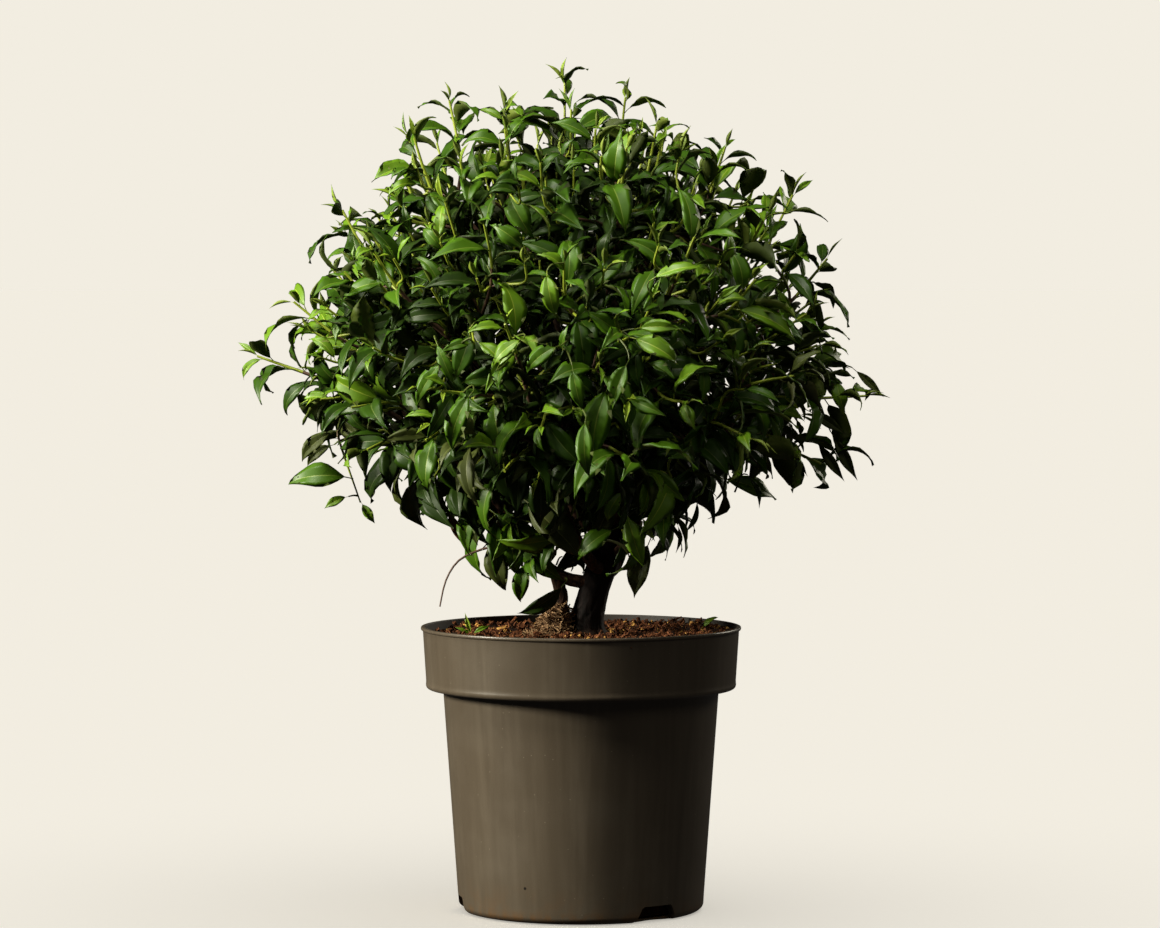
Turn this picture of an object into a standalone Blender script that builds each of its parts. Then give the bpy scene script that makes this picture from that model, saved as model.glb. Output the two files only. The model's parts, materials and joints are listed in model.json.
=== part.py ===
"""A Portugal laurel trained as a leafy ball on a short trunk, in a round grower's pot.

Metres, +Z up, the front towards -Y. The origin is the centre of the pot's flat underside.
The wood is a trunk, a second stem and boughs. The crown is cut into spaces round named
centres, and each space is filled by one mass: twigs that branch by a seeded rule from one
stem, with their leaves fused on.
"""
import math
import random

import bmesh
import bpy
from mathutils import Quaternion, Vector
from mathutils.bvhtree import BVHTree

# Finishes: base colour and roughness
FINISHES = {
    "dark_grey_plastic": ((0.060, 0.054, 0.046), 0.42),
    "bark_compost": ((0.085, 0.042, 0.024), 0.95),
    "brown_bark": ((0.090, 0.052, 0.034), 0.85),
    "laurel_green": ((0.040, 0.120, 0.018), 0.38),
}

# Pot
POT_HEIGHT = 0.2835
RIM_RADIUS = 0.160
LIP_HEIGHT = 0.004
COLLAR_TOP_RADIUS = 0.158
COLLAR_FOOT_RADIUS = 0.1545
SHOULDER_HEIGHT = 0.2218
BODY_TOP_RADIUS = 0.1378
BODY_FOOT_RADIUS = 0.1225
FOOT_ROUND = 0.005
EDGE_ROUND = 0.003
WALL = 0.0025
POT_STEPS = 40

# Drain slots, cut through the foot of the wall
SLOT_COUNT = 3
SLOT_FIRST_TURN = math.radians(-52)
SLOT_HEIGHT = 0.0160
SLOT_WIDTH = 0.066
SLOT_TOP_NARROWING = 0.54
SLOT_DEPTH = 0.024

# Potting mix
MIX_EDGE_DROP = 0.0105
MIX_CROWN_DROP = 0.0095
MIX_MOUND_RADIUS = 0.062

# Clearance between neighbouring solids, and what twigs and leaves keep to limbs and leaves
GAP = 0.0003
TWIG_CLEARANCE = 0.0015
LEAF_CLEARANCE = 0.0006
MERGE_DISTANCE = 0.000001

# Trunk: x, y, z and radius along it, leaning to the right above its root flare
MIX_TOP = POT_HEIGHT - MIX_CROWN_DROP
TRUNK_FOOT = MIX_TOP + GAP
TRUNK = [
    (0.006, 0.000, TRUNK_FOOT, 0.0215),
    (0.006, 0.000, TRUNK_FOOT + 0.006, 0.0185),
    (0.007, 0.000, TRUNK_FOOT + 0.018, 0.0162),
    (0.014, 0.001, TRUNK_FOOT + 0.048, 0.0150),
    (0.024, 0.003, 0.3535, 0.0155),
    (0.031, 0.006, 0.3955, 0.0125),
    (0.024, 0.008, 0.4435, 0.0095),
    (0.006, 0.006, 0.5035, 0.0065),
]
SECOND_STEM = [
    (-0.0275, -0.006, TRUNK_FOOT, 0.0105),
    (-0.0275, -0.006, TRUNK_FOOT + 0.005, 0.0088),
    (-0.0235, -0.006, TRUNK_FOOT + 0.022, 0.0074),
    (-0.0200, -0.006, TRUNK_FOOT + 0.042, 0.0070),
]
SECOND_STEM_BOUGH = "skirt_1"
SECOND_STEM_JOINT = 0.55
SECOND_STEM_END = 0.0045
TRUNK_PIECES = 3
SECOND_STEM_PIECES = 2
TRUNK_ROUNDNESS = 2
BOUGH_ROUNDNESS = 1

# Crown: an ellipsoid whose underside narrows as a cone to the fork
CROWN = Vector((-0.016, 0.0, 0.5595))
CROWN_RADIUS = 0.284
CROWN_RISE = 0.272
CONE_FOOT = 0.3215
CONE_FOOT_RADIUS = 0.045
CONE_SLOPE = 2.1
HANG_BELOW_CONE = 0.004

# Rings of masses: name, how many, first turn, elevation from the crown's centre. Then, for
# their boughs, the lowest and highest start on the trunk, the slope there, and the end's
# distance out and height
RINGS = [
    ("skirt", 5, 188, -24, 0.3255, 0.3555, 0.0, 0.112, 0.4535),
    ("belly", 5, 224, 12, 0.3695, 0.3995, 0.45, 0.100, 0.5335),
    ("shoulder", 4, 216, 48, 0.4135, 0.4585, 0.9, 0.062, 0.6035),
]
CENTRE_REACH = 0.62
BOUGH_RADIUS = 0.0072
BOUGH_TIP_RADIUS = 0.0040
BOUGH_SEGMENTS = 6
BOUGH_TAPER_POWER = 0.8
STRAIGHT_END = 0.004

# Shoots that stand out of the crown in the front view: angle up from +X, and reach
LEADERS = [
    (90, 0.289), (114, 0.290), (104, 0.262), (125, 0.279), (77, 0.276), (53, 0.274),
    (36, 0.289), (21, 0.292), (-8, 0.319), (146, 0.277), (168, 0.290), (180, 0.322),
    (206, 0.308), (222, 0.259), (254, 0.249), (265, 0.255), (-24, 0.316), (-40, 0.240),
    (-57, 0.227), (-70, 0.256),
]
OUTER_SHOOTS = 90
INNER_SHOOTS = 18
SPIRAL_LOWEST = -0.62
INNER_REACH = 0.62
SHOOT_SPACING = 0.058
LEADER_SETBACK = 0.68
SHOOT_SETBACK = 0.42
REACHES = (0.94, 0.97, 1.00, 1.03, 1.03, 1.10)
SHOOT_LIFT = 0.45
LIFT_ABOVE = -0.25
LEADER_DEPTH = (-0.03, 0.02)

# Twigs: sections, how much a longer way back to the bough or a bend counts against a fork,
# where along a twig forks are tried, and the bends that a fork may have
TWIG_SEGMENTS = 2
STEM_RADIUS = 0.0040
TWIG_RADIUS = 0.0026
TWIG_TIP_RADIUS = 0.0013
FORK_TAPER = 0.85
PATH_WEIGHT = 0.55
BEND_WEIGHT = 0.35
NEARNESS_WEIGHT = 2.0
FORK_PLACES = (0.12, 0.24, 0.36, 0.48, 0.60, 0.72)
FORK_BENDS = (0.25, 1.9)
FORK_FOLLOWS = 0.6
CURVE_HANDLE = 0.38

# Leaves: sizes, places of the widest point and the midrib's middle as shares of the length,
# how a leaf leaves its twig, and how much it turns up and outwards
LEAF_LENGTH = 0.078
LEAF_SPREAD = 0.49
LEAF_THICKNESS = 0.020
LEAF_WIDEST = 0.45
LEAF_MIDDLE = 0.36
LEAF_EDGE_RISE = 0.10
LEAF_MIDDLE_RISE = 0.045
LEAF_TIP_REACH = 0.97
LEAF_TIP_DROP = 0.16
LEAF_SIZES = (0.86, 1.06)
YOUNG_LEAF_SIZE = 0.80
YOUNG_LEAF_GROWTH = 0.10
LEAF_ROLL = 0.9
ALONG_TWIG = 0.55
ACROSS_TWIG = 0.78
OUT_OF_CROWN = 0.15
DROOP = 0.50
FACE_UP = 0.6
FACE_OUT = 0.9
TIP_LEAF_SHARE = 0.50
TIP_LEAF_SIZE = 0.70
TIP_LEAF_LEAN = 0.22
LEAF_PITCH = 0.017
LEAVES_A_SHOOT = 6
LEAFY_SHARE = 0.85
LEAF_TURNS = (0, 50, -50, 100, -100, 150, -150, 180)
GOLDEN_TURN = math.radians(137.5)
SEED = 7


def clear_scene():
    for obj in list(bpy.data.objects):
        bpy.data.objects.remove(obj, do_unlink=True)


def new_collection(name):
    made = bpy.data.collections.new(name)
    bpy.context.scene.collection.children.link(made)
    return made


def material(name):
    colour, roughness = FINISHES[name]
    made = bpy.data.materials.new(name)
    made.use_nodes = True
    shader = made.node_tree.nodes["Principled BSDF"]
    shader.inputs["Base Color"].default_value = (*colour, 1.0)
    shader.inputs["Roughness"].default_value = roughness
    shader.inputs["Metallic"].default_value = 0.0
    return made


def add_object(name, data, collection, finish=None):
    made = bpy.data.objects.new(name, data)
    collection.objects.link(made)
    if finish is not None:
        data.materials.append(finish)
    return made


def as_mesh(obj, name, collection, finish=None, fresh=True):
    """The evaluated shape of an object as a plain mesh object, in place of it."""
    if fresh:
        bpy.context.view_layer.update()
    seen = obj.evaluated_get(bpy.context.evaluated_depsgraph_get())
    mesh = bpy.data.meshes.new_from_object(seen)
    if obj.type == "CURVE":
        bm = bmesh.new()
        bm.from_mesh(mesh)
        bmesh.ops.remove_doubles(bm, verts=bm.verts, dist=MERGE_DISTANCE)
        bm.to_mesh(mesh)
        bm.free()
    mesh.materials.clear()
    mesh.transform(obj.matrix_world)
    bpy.data.objects.remove(obj, do_unlink=True)
    return add_object(name, mesh, collection, finish)


def as_cutter(obj):
    obj.hide_render = True
    obj.display_type = "WIRE"


def boolean(obj, collection, operation, solver="EXACT"):
    cut = obj.modifiers.new(operation.lower(), "BOOLEAN")
    cut.operation = operation
    cut.operand_type = "COLLECTION"
    cut.collection = collection
    cut.solver = solver


# Pot and potting mix

def pot_profile():
    """The pot's outer side, from the lip down and in under the foot, as radius and height."""
    collar_top = POT_HEIGHT - LIP_HEIGHT
    return [
        (RIM_RADIUS, POT_HEIGHT),
        (RIM_RADIUS, collar_top),
        (COLLAR_TOP_RADIUS, collar_top - EDGE_ROUND / 2),
        (COLLAR_FOOT_RADIUS, SHOULDER_HEIGHT + EDGE_ROUND),
        (COLLAR_FOOT_RADIUS - EDGE_ROUND, SHOULDER_HEIGHT),
        (BODY_TOP_RADIUS, SHOULDER_HEIGHT - EDGE_ROUND),
        (BODY_FOOT_RADIUS, FOOT_ROUND),
        (BODY_FOOT_RADIUS - FOOT_ROUND / 2, FOOT_ROUND / 5),
        (BODY_FOOT_RADIUS - FOOT_ROUND, 0.0),
        (0.0, 0.0),
    ]


def inset(profile, distance):
    """The profile moved towards the pot's inside, with mitred corners."""
    sides = []
    for (r0, z0), (r1, z1) in zip(profile, profile[1:]):
        length = math.hypot(r1 - r0, z1 - z0)
        sides.append(((z1 - z0) / length, -(r1 - r0) / length))
    moved = []
    for i, (r, z) in enumerate(profile):
        before = sides[max(i - 1, 0)]
        after = sides[min(i, len(sides) - 1)]
        share = 1.0 + before[0] * after[0] + before[1] * after[1]
        moved.append((
            max(r + distance * (before[0] + after[0]) / share, 0.0),
            z + distance * (before[1] + after[1]) / share,
        ))
    moved[-1] = (0.0, moved[-1][1])
    return moved


def turned(name, profile, collection, finish):
    """A profile of radius and height turned round the Z axis."""
    mesh = bpy.data.meshes.new(name)
    points = [(radius, 0.0, height) for radius, height in profile]
    mesh.from_pydata(points, [(i, i + 1) for i in range(len(points) - 1)], [])
    obj = add_object(name, mesh, collection, finish)
    screw = obj.modifiers.new("turn", "SCREW")
    screw.steps = POT_STEPS
    screw.render_steps = POT_STEPS
    screw.use_merge_vertices = True
    screw.merge_threshold = MERGE_DISTANCE
    return obj


def drain_slots(cutters):
    """Wedges that open the foot of the wall, narrower at the top."""
    bpy.context.view_layer.active_layer_collection = (
        bpy.context.view_layer.layer_collection.children[cutters.name])
    for i in range(SLOT_COUNT):
        turn = SLOT_FIRST_TURN + i * math.tau / SLOT_COUNT
        out = BODY_FOOT_RADIUS
        bpy.ops.mesh.primitive_cube_add(size=1.0, location=(
            out * math.cos(turn), out * math.sin(turn), 0.0))
        slot = bpy.context.object
        slot.name = f"drain_slot_{i + 1}"
        slot.rotation_euler.z = turn
        slot.scale = (SLOT_DEPTH, SLOT_WIDTH, 2 * SLOT_HEIGHT)
        for vertex in slot.data.vertices:
            if vertex.co.z > 0:
                vertex.co.y *= SLOT_TOP_NARROWING
        as_cutter(slot)


def make_pot(parts, cutters, finish):
    outer = pot_profile()
    inner = inset(outer, WALL)
    inner[0] = (RIM_RADIUS - WALL, POT_HEIGHT)
    pot = turned("pot", inner[::-1] + outer, parts, finish)
    drain_slots(cutters)
    boolean(pot, cutters, "DIFFERENCE")
    as_mesh(pot, "pot", parts, finish)


def make_potting_mix(parts, finish):
    """Fills the pot to just under the rim, mounded round the trunk."""
    wall = inset(pot_profile(), WALL + GAP)
    edge_height = POT_HEIGHT - MIX_EDGE_DROP
    top_radius = wall[2][0] + (wall[3][0] - wall[2][0]) * (
        (wall[2][1] - edge_height) / (wall[2][1] - wall[3][1]))
    top = [
        (0.0, MIX_TOP),
        (MIX_MOUND_RADIUS, MIX_TOP),
        ((MIX_MOUND_RADIUS + top_radius) / 2, (MIX_TOP + edge_height) / 2),
        (top_radius, edge_height),
    ]
    return turned("potting_mix", top + wall[3:], parts, finish)


# Wood

def smooth(points, pieces):
    """A smooth run through points of x, y, z and radius, whose first piece stays upright."""
    padded = [points[1], *points[1:], points[-1]]
    run = [points[0]]
    for a, b, c, d in zip(padded, padded[1:], padded[2:], padded[3:]):
        for step in range(pieces):
            t = step / pieces
            run.append(tuple(
                0.5 * (2 * q + (r - p) * t + (2 * p - 5 * q + 4 * r - s) * t ** 2
                       + (3 * q - p - 3 * r + s) * t ** 3)
                for p, q, r, s in zip(a, b, c, d)))
    run.append(tuple(points[-1]))
    return run


def tube(name, run, collection, grow=0.0, profile=None, roundness=TRUNK_ROUNDNESS):
    """A limb round a run of x, y, z and radius, with flat filled ends."""
    curve = bpy.data.curves.new(name, "CURVE")
    curve.dimensions = "3D"
    curve.use_fill_caps = True
    if profile is None:
        curve.bevel_depth = 1.0
        curve.bevel_resolution = roundness
    else:
        curve.bevel_mode = "OBJECT"
        curve.bevel_object = profile
    spline = curve.splines.new("POLY")
    spline.points.add(len(run) - 1)
    for point, (x, y, z, radius) in zip(spline.points, run):
        point.co = (x, y, z, 1.0)
        point.radius = radius + grow
    return add_object(name, curve, collection)


def bezier(start, leave, arrive, end, pieces):
    """Points from start to end, leaving and arriving along two directions."""
    reach = (end - start).length * CURVE_HANDLE
    first = start + leave.normalized() * reach
    last = end - arrive.normalized() * reach
    run = []
    for step in range(pieces + 1):
        t = step / pieces
        s = 1.0 - t
        run.append(start * s ** 3 + first * (3 * s * s * t) + last * (3 * s * t * t) + end * t ** 3)
    return run


def at_height(run, height):
    """The point of an upright limb's axis at a height."""
    for a, b in zip(run, run[1:]):
        if a[2] <= height <= b[2]:
            t = (height - a[2]) / (b[2] - a[2])
            return Vector(a[:3]).lerp(Vector(b[:3]), t)
    return Vector(run[-1][:3])


def flat(turn, out, up):
    """A point or direction at a turn round the crown's axis."""
    return Vector((math.cos(turn) * out, math.sin(turn) * out, up))


def bough_run(trunk_run, leave, slope, turn, tip, aim):
    """The course of a bough from the trunk's axis to its tip, with its taper."""
    start = at_height(trunk_run, leave)
    neck = tip - aim * STRAIGHT_END
    points = bezier(start, flat(turn, 1.0, slope), aim, neck, BOUGH_SEGMENTS)
    run = []
    for i, p in enumerate(points):
        t = (i / BOUGH_SEGMENTS) ** BOUGH_TAPER_POWER
        run.append((*p, BOUGH_RADIUS + (BOUGH_TIP_RADIUS - BOUGH_RADIUS) * t))
    run.append((*tip, BOUGH_TIP_RADIUS))
    return run


def make_limb(name, run, guard, guard_roundness, parts, clear, finish):
    """A limb cut back clear of the one that it grows from."""
    limb = as_mesh(tube(name, run, parts, roundness=BOUGH_ROUNDNESS), name, parts, finish)
    cutter = tube(name + "_clearance", guard, clear, grow=GAP, roundness=guard_roundness)
    cutter = as_mesh(cutter, cutter.name, clear)
    as_cutter(cutter)
    boolean(limb, clear, "DIFFERENCE")
    limb = as_mesh(limb, name, parts, finish)
    bpy.data.objects.remove(cutter, do_unlink=True)
    return limb


def make_wood(trunk_run, plan, parts, clear, finish):
    """The trunk, the boughs round it, and the second stem that grows into one of them."""
    wood = [as_mesh(tube("trunk", trunk_run, parts), "trunk", parts, finish)]
    for name, _, _, _, run in plan:
        if run is None:
            continue
        wood.append(make_limb(
            "bough_" + name, run, trunk_run, TRUNK_ROUNDNESS, parts, clear, finish))
        if name == SECOND_STEM_BOUGH:
            joint = Vector(run[1][:3]).lerp(Vector(run[2][:3]), SECOND_STEM_JOINT)
            stem_run = smooth([*SECOND_STEM, (*joint, SECOND_STEM_END)], SECOND_STEM_PIECES)
            wood.append(make_limb(
                "second_stem", stem_run, run, BOUGH_ROUNDNESS, parts, clear, finish))
    return wood


# Crown

def envelope(direction):
    """How far the crown reaches from its centre in a direction."""
    flat_part = math.hypot(direction.x, direction.y)
    ellipsoid = 1.0 / math.sqrt((flat_part / CROWN_RADIUS) ** 2 + (direction.z / CROWN_RISE) ** 2)
    narrowing = flat_part - CONE_SLOPE * direction.z
    if narrowing <= 0.0:
        return ellipsoid
    cone = (CONE_FOOT_RADIUS + CONE_SLOPE * (CROWN.z - CONE_FOOT)) / narrowing
    return min(ellipsoid, cone)


def spiral(count, lowest):
    """Directions in an even spiral over the crown, from its top down."""
    for k in range(count):
        height = 1.0 - (1.0 - lowest) * (k + 0.5) / count
        yield flat(k * GOLDEN_TURN, math.sqrt(1.0 - height * height), height)


def shoot_tips():
    """Where each shoot ends and how it points there: leaders, then outer and inner spirals."""
    chance = random.Random(SEED)
    tips = []
    for angle, reach in LEADERS:
        turn = math.radians(angle)
        direction = Vector((math.cos(turn), 0.0, math.sin(turn)))
        tip = CROWN + direction * (reach - LEAF_LENGTH * LEADER_SETBACK)
        tip.y += chance.uniform(*LEADER_DEPTH)
        tips.append((tip, direction))
    for count, share in ((OUTER_SHOOTS, 1.0), (INNER_SHOOTS, INNER_REACH)):
        for direction in spiral(count, SPIRAL_LOWEST):
            reach = (envelope(direction) - LEAF_LENGTH * SHOOT_SETBACK) * share
            reach *= chance.choice(REACHES)
            tip = CROWN + direction * reach
            lift = SHOOT_LIFT if direction.z > LIFT_ABOVE else 0.0
            arrive = (direction + Vector((0.0, 0.0, lift))).normalized()
            if all((tip - other).length > SHOOT_SPACING for other, _ in tips):
                tips.append((tip, arrive))
    return tips


class Space:
    """The part of the crown nearer to one centre than to any other."""

    def __init__(self, centre, others):
        self.centre = centre
        self.walls = []
        for other in others:
            across = other - centre
            middle = (centre + other) / 2
            self.walls.append((across.normalized(), middle))

    def holds(self, point):
        return all((point - middle).dot(across) < -LEAF_CLEARANCE for across, middle in self.walls)


class Twig:
    """A tapering twig through points, with the length of wood below its foot."""

    def __init__(self, points, foot_radius, tip_radius, below):
        self.points = points
        self.lengths = [0.0]
        for a, b in zip(points, points[1:]):
            self.lengths.append(self.lengths[-1] + (b - a).length)
        self.length = self.lengths[-1]
        self.foot_radius = foot_radius
        self.tip_radius = tip_radius
        self.below = below

    def at(self, distance):
        """Point and direction at a distance from the foot."""
        for i in range(len(self.points) - 1):
            if distance <= self.lengths[i + 1] or i == len(self.points) - 2:
                side = self.points[i + 1] - self.points[i]
                t = (distance - self.lengths[i]) / side.length
                return self.points[i] + side * t, side.normalized()

    def radius(self, distance):
        return self.foot_radius + (self.tip_radius - self.foot_radius) * distance / self.length

    def run(self):
        return [(*p, self.radius(d)) for p, d in zip(self.points, self.lengths)]


def clear_of(points, trees, distance):
    for point in points:
        for tree in trees:
            if tree.find_nearest(point, distance)[0] is not None:
                return False
    return True


def allowed(points, space, limbs):
    between = [(a + b) / 2 for a, b in zip(points, points[1:])]
    inside = all(space.holds(p) for p in points)
    return inside and clear_of(points[1:] + between, limbs, TWIG_RADIUS + TWIG_CLEARANCE)


def grow_twigs(foot, aim, tips, space, limbs):
    """A stem from the bough's tip, then each shoot from the cheapest place on the wood so far."""
    main = min(tips, key=lambda end: (
        aim.angle(end[0] - foot) - NEARNESS_WEIGHT * (end[0] - foot).length))
    neck = foot + aim * STRAIGHT_END
    points = [foot, *bezier(neck, aim, main[1], main[0], TWIG_SEGMENTS + 1)]
    twigs = [Twig(points, STEM_RADIUS, TWIG_TIP_RADIUS, 0.0)]
    for tip, arrive in tips:
        if tip is main[0]:
            continue
        offers = []
        for twig in twigs:
            for place in FORK_PLACES:
                along = twig.length * place
                start, direction = twig.at(along)
                way = tip - start
                bend = direction.angle(way)
                cost = way.length * (1.0 + BEND_WEIGHT * bend)
                cost += PATH_WEIGHT * (twig.below + along)
                if FORK_BENDS[0] < bend < FORK_BENDS[1]:
                    offers.append((cost, start, direction, twig, along))
        offers.sort(key=lambda offer: offer[0])
        for _, start, direction, parent, along in offers:
            way = (tip - start).normalized()
            leave = direction * FORK_FOLLOWS + way
            curved = bezier(start, leave, arrive, tip, TWIG_SEGMENTS)
            straight = bezier(start, way, way, tip, TWIG_SEGMENTS)
            fits = [points for points in (curved, straight) if allowed(points, space, limbs)]
            if fits:
                thick = min(TWIG_RADIUS, parent.radius(along) * FORK_TAPER)
                twigs.append(Twig(fits[0], thick, TWIG_TIP_RADIUS, parent.below + along))
                break
    return twigs


def leaf_points(root, direction, upper, length, fat=0.0):
    """Tip, root, two edges, midrib and keel of a leaf folded along its midrib and arching."""
    across = upper.cross(direction).normalized()
    upper = direction.cross(across).normalized()
    half = length * LEAF_SPREAD / 2 + fat
    middle = root + direction * length * LEAF_MIDDLE + upper * length * LEAF_MIDDLE_RISE
    edge = root + direction * length * LEAF_WIDEST + upper * length * LEAF_EDGE_RISE
    thick = length * LEAF_THICKNESS / 2 + fat
    return {
        "tip": root + direction * (length * LEAF_TIP_REACH + fat) - upper * length * LEAF_TIP_DROP,
        "root": root,
        "left": edge + across * half,
        "right": edge - across * half,
        "midrib": middle + upper * thick,
        "keel": middle - upper * thick,
    }


def leaf_form():
    """The six-pointed double pyramid that every leaf is pulled from."""
    bm = bmesh.new()
    bmesh.ops.create_uvsphere(bm, u_segments=4, v_segments=2, radius=1.0)
    names = []
    for vertex in bm.verts:
        x, y, z = vertex.co
        if abs(z) > 0.5:
            names.append("midrib" if z > 0 else "keel")
        elif abs(x) > 0.5:
            names.append("tip" if x > 0 else "root")
        else:
            names.append("left" if y > 0 else "right")
    faces = [[v.index for v in face.verts] for face in bm.faces]
    bm.free()
    return names, faces


def leaf_frame(twig, along, turn, roll):
    """Where a leaf sits on its twig, which way it points and which way it faces."""
    root, axis = twig.at(along)
    side = axis.orthogonal().normalized()
    other = axis.cross(side)
    radial = side * math.cos(turn) + other * math.sin(turn)
    outwards = (root - CROWN).normalized()
    direction = axis * ALONG_TWIG + radial * ACROSS_TWIG + outwards * OUT_OF_CROWN
    direction.z -= DROOP
    direction.normalize()
    upper = Vector((0.0, 0.0, FACE_UP)) + outwards * FACE_OUT
    upper += direction.cross(upper).normalized() * roll
    return root, direction, upper


def tip_leaf_frame(twig, space, turn):
    """The last leaf points on along its twig, or turns in to its space as its turn grows."""
    end, axis = twig.at(twig.length)
    inwards = (space.centre - end).normalized()
    direction = (axis + inwards * abs(turn) * TIP_LEAF_LEAN).normalized()
    upper = direction.orthogonal()
    upper.rotate(Quaternion(direction, turn))
    return end - axis * TWIG_TIP_RADIUS, direction, upper


def in_reach(points, twig):
    """No leaf passes the shoot's own tip leaf or hangs far below the crown's cone."""
    limit = (twig.points[-1] - CROWN).length + LEAF_LENGTH * TIP_LEAF_SHARE
    for point in points:
        out = math.hypot(point.x - CROWN.x, point.y - CROWN.y)
        floor = CONE_FOOT + (out - CONE_FOOT_RADIUS) / CONE_SLOPE - HANG_BELOW_CONE
        if (point - CROWN).length > limit or point.z < floor:
            return False
    return True


def grow_leaves(twigs, trees, space, limbs, form, chance):
    """Leaves in a golden spiral along each twig, turned aside where one would touch or stray."""
    names, faces = form
    grown = []
    leaf_trees = []
    for twig, own in zip(twigs, trees):
        count = min(LEAVES_A_SHOOT, int(twig.length * LEAFY_SHARE / LEAF_PITCH))
        spin = chance.uniform(0, math.tau)
        for i in range(count + 1):
            along = twig.length - i * LEAF_PITCH
            size = LEAF_LENGTH * chance.uniform(*LEAF_SIZES)
            size *= min(1.0, YOUNG_LEAF_SIZE + YOUNG_LEAF_GROWTH * i)
            if i == 0:
                size = LEAF_LENGTH * TIP_LEAF_SIZE
            roll = chance.uniform(-LEAF_ROLL, LEAF_ROLL)
            for turn in map(math.radians, LEAF_TURNS):
                root, direction, upper = leaf_frame(
                    twig, along, spin + i * GOLDEN_TURN + turn, roll)
                if i == 0:
                    root, direction, upper = tip_leaf_frame(twig, space, turn)
                fat = leaf_points(root, direction, upper, size, fat=LEAF_CLEARANCE)
                points = [fat[name] for name in names]
                if not all(space.holds(p) for p in points):
                    continue
                if i > 0 and not in_reach(points, twig):
                    continue
                tree = BVHTree.FromPolygons(points, faces)
                others = limbs + [wood for wood in trees if wood is not own] + leaf_trees
                if any(tree.overlap(other) for other in others):
                    continue
                thin = leaf_points(root, direction, upper, size)
                points = [thin[name] for name in names]
                grown.append(points)
                leaf_trees.append(BVHTree.FromPolygons(points, faces))
                break
    return grown


def mesh_tree(obj):
    points = [obj.matrix_world @ v.co for v in obj.data.vertices]
    faces = [tuple(p.vertices) for p in obj.data.polygons]
    return BVHTree.FromPolygons(points, faces)


def make_mass(name, foot, aim, tips, space, limbs, shapes, parts, finish, chance):
    """One mass of foliage: its twigs and leaves joined into one solid."""
    profile, form = shapes
    twigs = grow_twigs(foot, aim, tips, space, limbs)
    scraps = new_collection(name + "_scraps")
    woods = [tube(f"{name}_twig_{i}", twig.run(), scraps, profile=profile)
             for i, twig in enumerate(twigs)]
    bpy.context.view_layer.update()
    woods = [as_mesh(wood, wood.name, scraps, fresh=False) for wood in woods]
    trees = [mesh_tree(wood) for wood in woods]
    leaves = grow_leaves(twigs, trees, space, limbs, form, chance)
    for i, points in enumerate(leaves):
        mesh = bpy.data.meshes.new(f"{name}_leaf_{i}")
        mesh.from_pydata(points, [], form[1])
        add_object(mesh.name, mesh, scraps)
    stem = woods[0]
    scraps.objects.unlink(stem)
    parts.objects.link(stem)
    boolean(stem, scraps, "UNION", "MANIFOLD")
    as_mesh(stem, name, parts, finish)
    for obj in list(scraps.objects):
        bpy.data.objects.remove(obj, do_unlink=True)
    bpy.data.collections.remove(scraps)
    return len(twigs), len(leaves)


def make_twig_profile(cutters):
    """The three-sided section of a twig, one metre in radius, scaled by each twig's own."""
    curve = bpy.data.curves.new("twig_section", "CURVE")
    curve.dimensions = "2D"
    spline = curve.splines.new("POLY")
    spline.points.add(2)
    for i, point in enumerate(spline.points):
        turn = -i * math.tau / 3
        point.co = (math.cos(turn), math.sin(turn), 0.0, 1.0)
    spline.use_cyclic_u = True
    profile = add_object("twig_section", curve, cutters)
    as_cutter(profile)
    return profile


def plan_crown(trunk_run):
    """Centre of every mass, and its bough's tip, direction at the tip, and course."""
    plan = []
    for ring, count, first, rise, low, high, slope, out, up in RINGS:
        for i in range(count):
            turn = math.radians(first) + i * math.tau / count
            direction = flat(turn, math.cos(math.radians(rise)), math.sin(math.radians(rise)))
            centre = CROWN + direction * envelope(direction) * CENTRE_REACH
            tip = Vector((CROWN.x, CROWN.y, 0.0)) + flat(turn, out, up)
            order = (i * 2) % count
            leave = low + (high - low) * order / (count - 1)
            aim = (centre - tip).normalized()
            run = bough_run(trunk_run, leave, slope, turn, tip, aim)
            plan.append((f"{ring}_{i + 1}", centre, tip, aim, run))
    top = CROWN + Vector((0.0, 0.0, CROWN_RISE * CENTRE_REACH))
    before, end = [Vector(point[:3]) for point in trunk_run[-2:]]
    plan.append(("top", top, end, (end - before).normalized(), None))
    return plan


def main():
    clear_scene()
    parts = new_collection("portugal_laurel")
    cutters = new_collection("drain_slot_cutters")
    clear = new_collection("limb_clearance")
    sections = new_collection("twig_sections")
    make_pot(parts, cutters, material("dark_grey_plastic"))
    make_potting_mix(parts, material("bark_compost"))

    trunk_run = smooth(TRUNK, TRUNK_PIECES)
    plan = plan_crown(trunk_run)
    wood = make_wood(trunk_run, plan, parts, clear, material("brown_bark"))
    limbs = [mesh_tree(obj) for obj in wood]

    tips = shoot_tips()
    centres = [centre for _, centre, *_ in plan]
    shapes = (make_twig_profile(sections), leaf_form())
    foliage = material("laurel_green")
    chance = random.Random(SEED)
    for name, centre, tip, aim, _ in plan:
        space = Space(centre, [other for other in centres if other is not centre])
        own = [end for end in tips if space.holds(end[0])]
        twigs, leaves = make_mass("foliage_" + name, tip + aim * GAP, aim, own, space, limbs,
                                  shapes, parts, foliage, chance)
        print(f"foliage_{name}: {twigs} twigs and {leaves} leaves")


main()
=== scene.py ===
# %% [markdown]
# A Portugal laurel in a grower's pot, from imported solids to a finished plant.
# The frame holds the plant as plain solids at their real size: pot, potting mix, wood and masses
# of foliage. Each is dressed here with what a gardener sees: a dusty satin pot, crumbly bark
# compost, cracked bark, fine twigs and a few thousand glossy leaves.

# %% Load the frame
import json
import math
import random

import bmesh
import bpy
import numpy as np
from mathutils import Matrix, Vector, noise
from mathutils.bvhtree import BVHTree

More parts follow.
